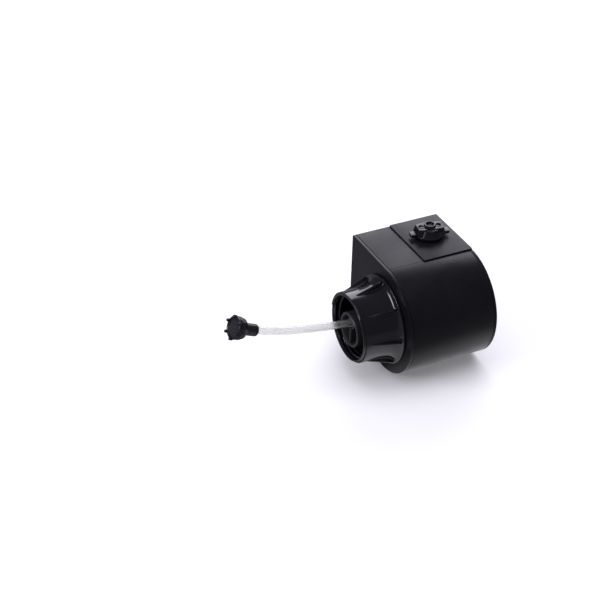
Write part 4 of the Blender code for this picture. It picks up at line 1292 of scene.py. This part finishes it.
cap = piece(
    "nozzle_cap_moulding",
    lathe(CAP, sides=144, segs=5, origin=(*NOZZLE, 0), axis=Z_AXIS),
    KNOB_BLACK,
    "nozzle_cap",
    sharp=40.0,
)
bar = cap_tool(grip_bar())
bar_well = cylinder(3.35, CAP_BASE + 7.9, CAP_TOP + 1.0, sides=72, axis=Z_AXIS)
cut(bar, [cap_tool(bar_well), *(on_bar(DIMPLE, 40, side) for side in (-1, 1))])

cap_lug = block(
    (9.0, 17.0), (-3.45, 3.45), (CAP_BASE + 0.35, CAP_BASE + 2.85), radius=1.3, segs=5, edge=0.4
)
cap_parts = [bar]
for side, turned in ((-1, math.pi), (1, 0.0)):
    cap_parts += [on_bar(DIMPLE_LIP, 48, side), cap_tool(cap_lug, turned)]
join(cap, cap_parts, CAP_SHARP)

# Stepped bores on the axis, narrowing upwards, then notches along both sides of the bar.
cap_cuts = [
    nozzle_cylinder(7.2, CAP_BASE - 1.0, CAP_BASE + 2.0, sides=64),
    nozzle_cylinder(5.3, CAP_BASE + 1.0, CAP_BASE + 5.0, sides=64),
    nozzle_cylinder(2.4, CAP_BASE + 4.0, CAP_BASE + 7.0, sides=40),
    nozzle_cylinder(0.8, CAP_BASE + 6.0, CAP_TOP + 1.0, sides=28),
]
for turned in (0.0, math.pi):
    for k in range(6):
        notch_x = (1.6 + NOTCH_PITCH * k, 2.25 + NOTCH_PITCH * k)
        notch = block(notch_x, (-9.5, -5.75), (CAP_BASE + 5.3, CAP_TOP + 1.0), radius=0.2)
        cap_cuts.append(cap_tool(notch, turned))
cut(cap, cap_cuts, CAP_SHARP)

# ------------------------------------------------------------------ battery door
DOOR_FACE = DOOR_Z[0]
RIDGE_PITCH = 1.7
door = piece(
    "battery_door_moulding",
    block(DOOR_X, DOOR_Y, DOOR_Z, radius=1.0, segs=5, edge=0.28),
    SATIN,
    "battery_door",
)
thumb_recess = block(
    (-34.0, -24.0), (-66.0, -62.0), (-48.0, DOOR_FACE + 0.8), radius=1.6, segs=5
)
cut(door, [thumb_recess])
ridges = [
    block(
        (-36.5, -21.5),
        (-59.5 + RIDGE_PITCH * k, -58.8 + RIDGE_PITCH * k),
        (DOOR_FACE - 0.19, DOOR_FACE + 0.71),
        radius=0.3,
    )
    for k in range(5)
]
arrow = cylinder(
    1.6, DOOR_FACE - 0.18, DOOR_FACE + 0.6, sides=3, origin=(-29.0, -49.0, 0), axis=Z_AXIS
)
join(door, [*ridges, arrow])

# ------------------------------------------------------------------ power button
# (radius, y, rounding)
BUTTON_CAP = (
    (0, -5.2), (7.4, -5.2, 0.2), (7.4, -2.9, 0.2), (6.0, -2.9, 0.1), (6.0, -0.35, 0.5),
    (4.2, -0.25, 0.5), (3.6, -0.62, 0.6), (0, -0.78),
)
piece(
    "power_button_cap",
    lathe(BUTTON_CAP, sides=72, segs=5, origin=BUTTON),
    KNOB_BLACK,
    "power_button",
)

# ------------------------------------------------------------------ rear screws
# (radius, y, rounding)
SCREW = (
    (0, -16.0), (0.35, -16.0), (1.3, -14.4, 0.2), (1.3, -2.0, 0.15), (2.8, -2.0, 0.15),
    (2.8, -0.75, 0.5), (1.6, -0.22, 1.0), (0, -0.2),
)
for number, (x, z) in enumerate(PILLARS, 1):
    screw = piece(
        f"rear_screw_fine_{number}",
        lathe(SCREW, sides=48, origin=(x, 0, z)),
        STEEL,
        f"rear_screw_{number}",
    )
    crosses = []
    for k, reach in enumerate((1.75, 1.7)):
        slot = block((-reach, reach), (-1.5, 0.5), (-0.34, 0.34), radius=0.25, axis=1)
        turn = Matrix.Rotation(k * math.pi / 2 + 0.35 * number, 4, "Y")
        crosses.append(tool(slot, Matrix.Translation((x * MM, 0, z * MM)) @ turn))
    cut(screw, crosses)

# ------------------------------------------------------------------ carried-over parts
NODES_BY_FINISH = (
    (BLACK_NYLON, ("nozzle_nut", "insert_nut", "motor_end_cap", "tact_switch")),
    (GLOSS, ("nozzle_stem",)),
    (BLACK_RUBBER, ("nozzle_o_ring", "shaft_seal")),
    (ACETAL, ("swirl_core", "valve_seat", "pump_body", "pump_cover")),
    (ACETAL, ("reduction_gear", "drive_rotor", "driven_rotor")),
    (HOSE_CLEAR, ("inlet_hose", "outlet_hose")),
    (CAN_STEEL, ("motor_can", "drive_bracket")),
    (STEEL, ("motor_shaft", "motor_pinion", "pump_drive_shaft")),
    (STEEL, ("driven_rotor_pin", "check_ball")),
    (COPPER, ("motor_armature",)),
    (BOARD, ("circuit_board",)),
    (RED_LEAD, ("motor_lead_1",)),
    (BLACK_LEAD, ("motor_lead_2",)),
    (NICKEL, ("contact_positive", "contact_negative")),
    (CELL_ODD, ("battery_cell_1", "battery_cell_3")),
    (CELL_EVEN, ("battery_cell_2", "battery_cell_4")),
)
FINISH = {name: mat for mat, names in NODES_BY_FINISH for name in names}
UNBEVELLED = {
    "inlet_hose", "outlet_hose", "check_ball", "motor_lead_1", "motor_lead_2",
    "nozzle_o_ring", "reduction_gear", "motor_pinion", "drive_rotor", "driven_rotor",
}


def finish_for(name):
    if name in FINISH:
        return FINISH[name]
    if name.startswith("contact_bridge"):
        return NICKEL
    return STEEL if "screw" in name else SATIN_INNER


for name, node in frame["nodes"].items():
    if node.hide_render:
        continue
    node.data.materials.clear()
    node.data.materials.append(finish_for(name))
    weld = node.modifiers.new("weld", "WELD")
    weld.merge_threshold = 1e-6
    if name not in UNBEVELLED:
        bevel = node.modifiers.new("bevel", "BEVEL")
        bevel.limit_method = "ANGLE"
        bevel.angle_limit = math.radians(40)
        bevel.width = 0.12 * MM
        bevel.segments = 2
        bevel.harden_normals = False
        bevel.use_clamp_overlap = True
    node.data.shade_smooth()

# ------------------------------------------------------------------ studio floor and world
scene = bpy.context.scene
FLOOR_Z = CAD_BOX[0][2]
FLOOR_HALF = 3.2


def seen_rays(shader, light_path):
    """1 for rays that show the backdrop itself: straight or through clear parts."""
    outputs = light_path.outputs
    return shader.math("MAXIMUM", outputs["Is Camera Ray"], outputs["Is Transmission Ray"])


def paper_material(name, seen_tone, other_tone, glow):
    """Pale glowing paper. Other rays find a dimmer sheet with a lit band on it."""
    material, mat = new_material(name)
    fibre = mat.noise(scale=55.0, detail=5.0, rough=0.6)
    seen = seen_rays(mat, mat.node("ShaderNodeLightPath"))
    pale = mat.mix(mat.ramp(fibre, over=(0.3, 0.7)), scaled(seen_tone, 0.985), seen_tone)
    x, y = mat.axis(0), mat.axis(1)
    x_rise = mat.ramp(x, over=(0.000, 0.028))
    x_fall = mat.ramp(x, over=(0.062, 0.105), to=(1.0, 0.0))
    y_rise = mat.ramp(y, over=(-0.200, -0.130))
    y_fall = mat.ramp(y, over=(0.02, 0.10), to=(1.0, 0.0))
    across = mat.math("MULTIPLY", x_rise, x_fall)
    band = mat.math("MULTIPLY", across, mat.math("MULTIPLY", y_rise, y_fall))
    lit = mat.math("MULTIPLY", band, mat.math("SUBTRACT", 1.0, seen))
    lit = mat.math("MULTIPLY", lit, glow)
    mat.set(
        Base_Color=mat.mix(seen, other_tone, pale),
        Roughness=0.85,
        Normal=mat.bump(fibre, strength=0.05, distance=0.0003),
        Specular_IOR_Level=0.1,
        Emission_Color=(0.97, 0.96, 1.0),
        Emission_Strength=mat.math("ADD", lit, seen, amount=0.13),
    )
    return material


floor_mesh = bpy.data.meshes.new("studio_floor")
floor_corners = [
    (x * FLOOR_HALF, y * FLOOR_HALF, FLOOR_Z) for x, y in ((-1, -1), (1, -1), (1, 1), (-1, 1))
]
floor_mesh.from_pydata(floor_corners, [], [(0, 1, 2, 3)])
floor = bpy.data.objects.new("studio_floor", floor_mesh)
floor_mesh.materials.append(
    paper_material(
        "studio_paper", seen_tone=(0.92, 0.92, 0.93), other_tone=(0.22, 0.22, 0.235), glow=0.75
    )
)
scene.collection.objects.link(floor)

WORLD_DIFFUSE = (0.34, 0.34, 0.36)
WORLD_GLOSSY = (0.13, 0.13, 0.15)
WORLD_SEEN = (0.93, 0.93, 0.94)
world = bpy.data.worlds.new("studio_world")
scene.world = world
sky = Shader(world, main="Background")
light_path = sky.node("ShaderNodeLightPath")
unseen = sky.mix(light_path.outputs["Is Glossy Ray"], WORLD_DIFFUSE, WORLD_GLOSSY)
sky.set(Color=sky.mix(seen_rays(sky, light_path), unseen, WORLD_SEEN))

# ------------------------------------------------------------------ lights and camera
COOL = (0.985, 0.965, 1.06)
LIGHT_TARGET = (0, -0.05, 0)


def softbox(name, direction, distance, size, radiance):
    """A rectangular light in this direction from the target, aimed back at it."""
    light = bpy.data.lights.new(name, "AREA")
    light.shape = "RECTANGLE"
    light.size, light.size_y = size
    light.energy = radiance * math.pi * size[0] * size[1]
    light.color = COOL
    obj = bpy.data.objects.new(name, light)
    outward = Vector(direction).normalized()
    obj.location = Vector(LIGHT_TARGET) + outward * distance
    obj.rotation_euler = (-outward).to_track_quat("-Z", "Y").to_euler()
    obj.visible_transmission = False
    scene.collection.objects.link(obj)
    return obj


overhead = softbox(
    "overhead_softbox", direction=(0.10, 0.05, 1.0), distance=1.5, size=(1.5, 1.5), radiance=1.9
)
overhead.visible_glossy = False
softbox(
    "rear_softbox", direction=(-0.69, 0.461, 0.45), distance=1.7, size=(1.5, 1.1), radiance=3.1
)
softbox(
    "key_softbox", direction=(-0.08, -0.87, 0.47), distance=1.3, size=(0.70, 0.25), radiance=11.0
)

camera_data = bpy.data.cameras.new("studio_camera")
camera_data.lens = 94.80637
camera_data.sensor_width = 36.0
camera_data.clip_start = 0.01
camera = bpy.data.objects.new("studio_camera", camera_data)
camera.location = (0.92273294, -0.61618358, 0.74575679)
camera.rotation_mode = "QUATERNION"
camera.rotation_quaternion = Quaternion(
    (0.746955072222892, 0.3990513085804502, 0.24135197810625414, 0.47388331460911604)
)
scene.collection.objects.link(camera)
scene.camera = camera
scene.view_settings.view_transform = "Standard"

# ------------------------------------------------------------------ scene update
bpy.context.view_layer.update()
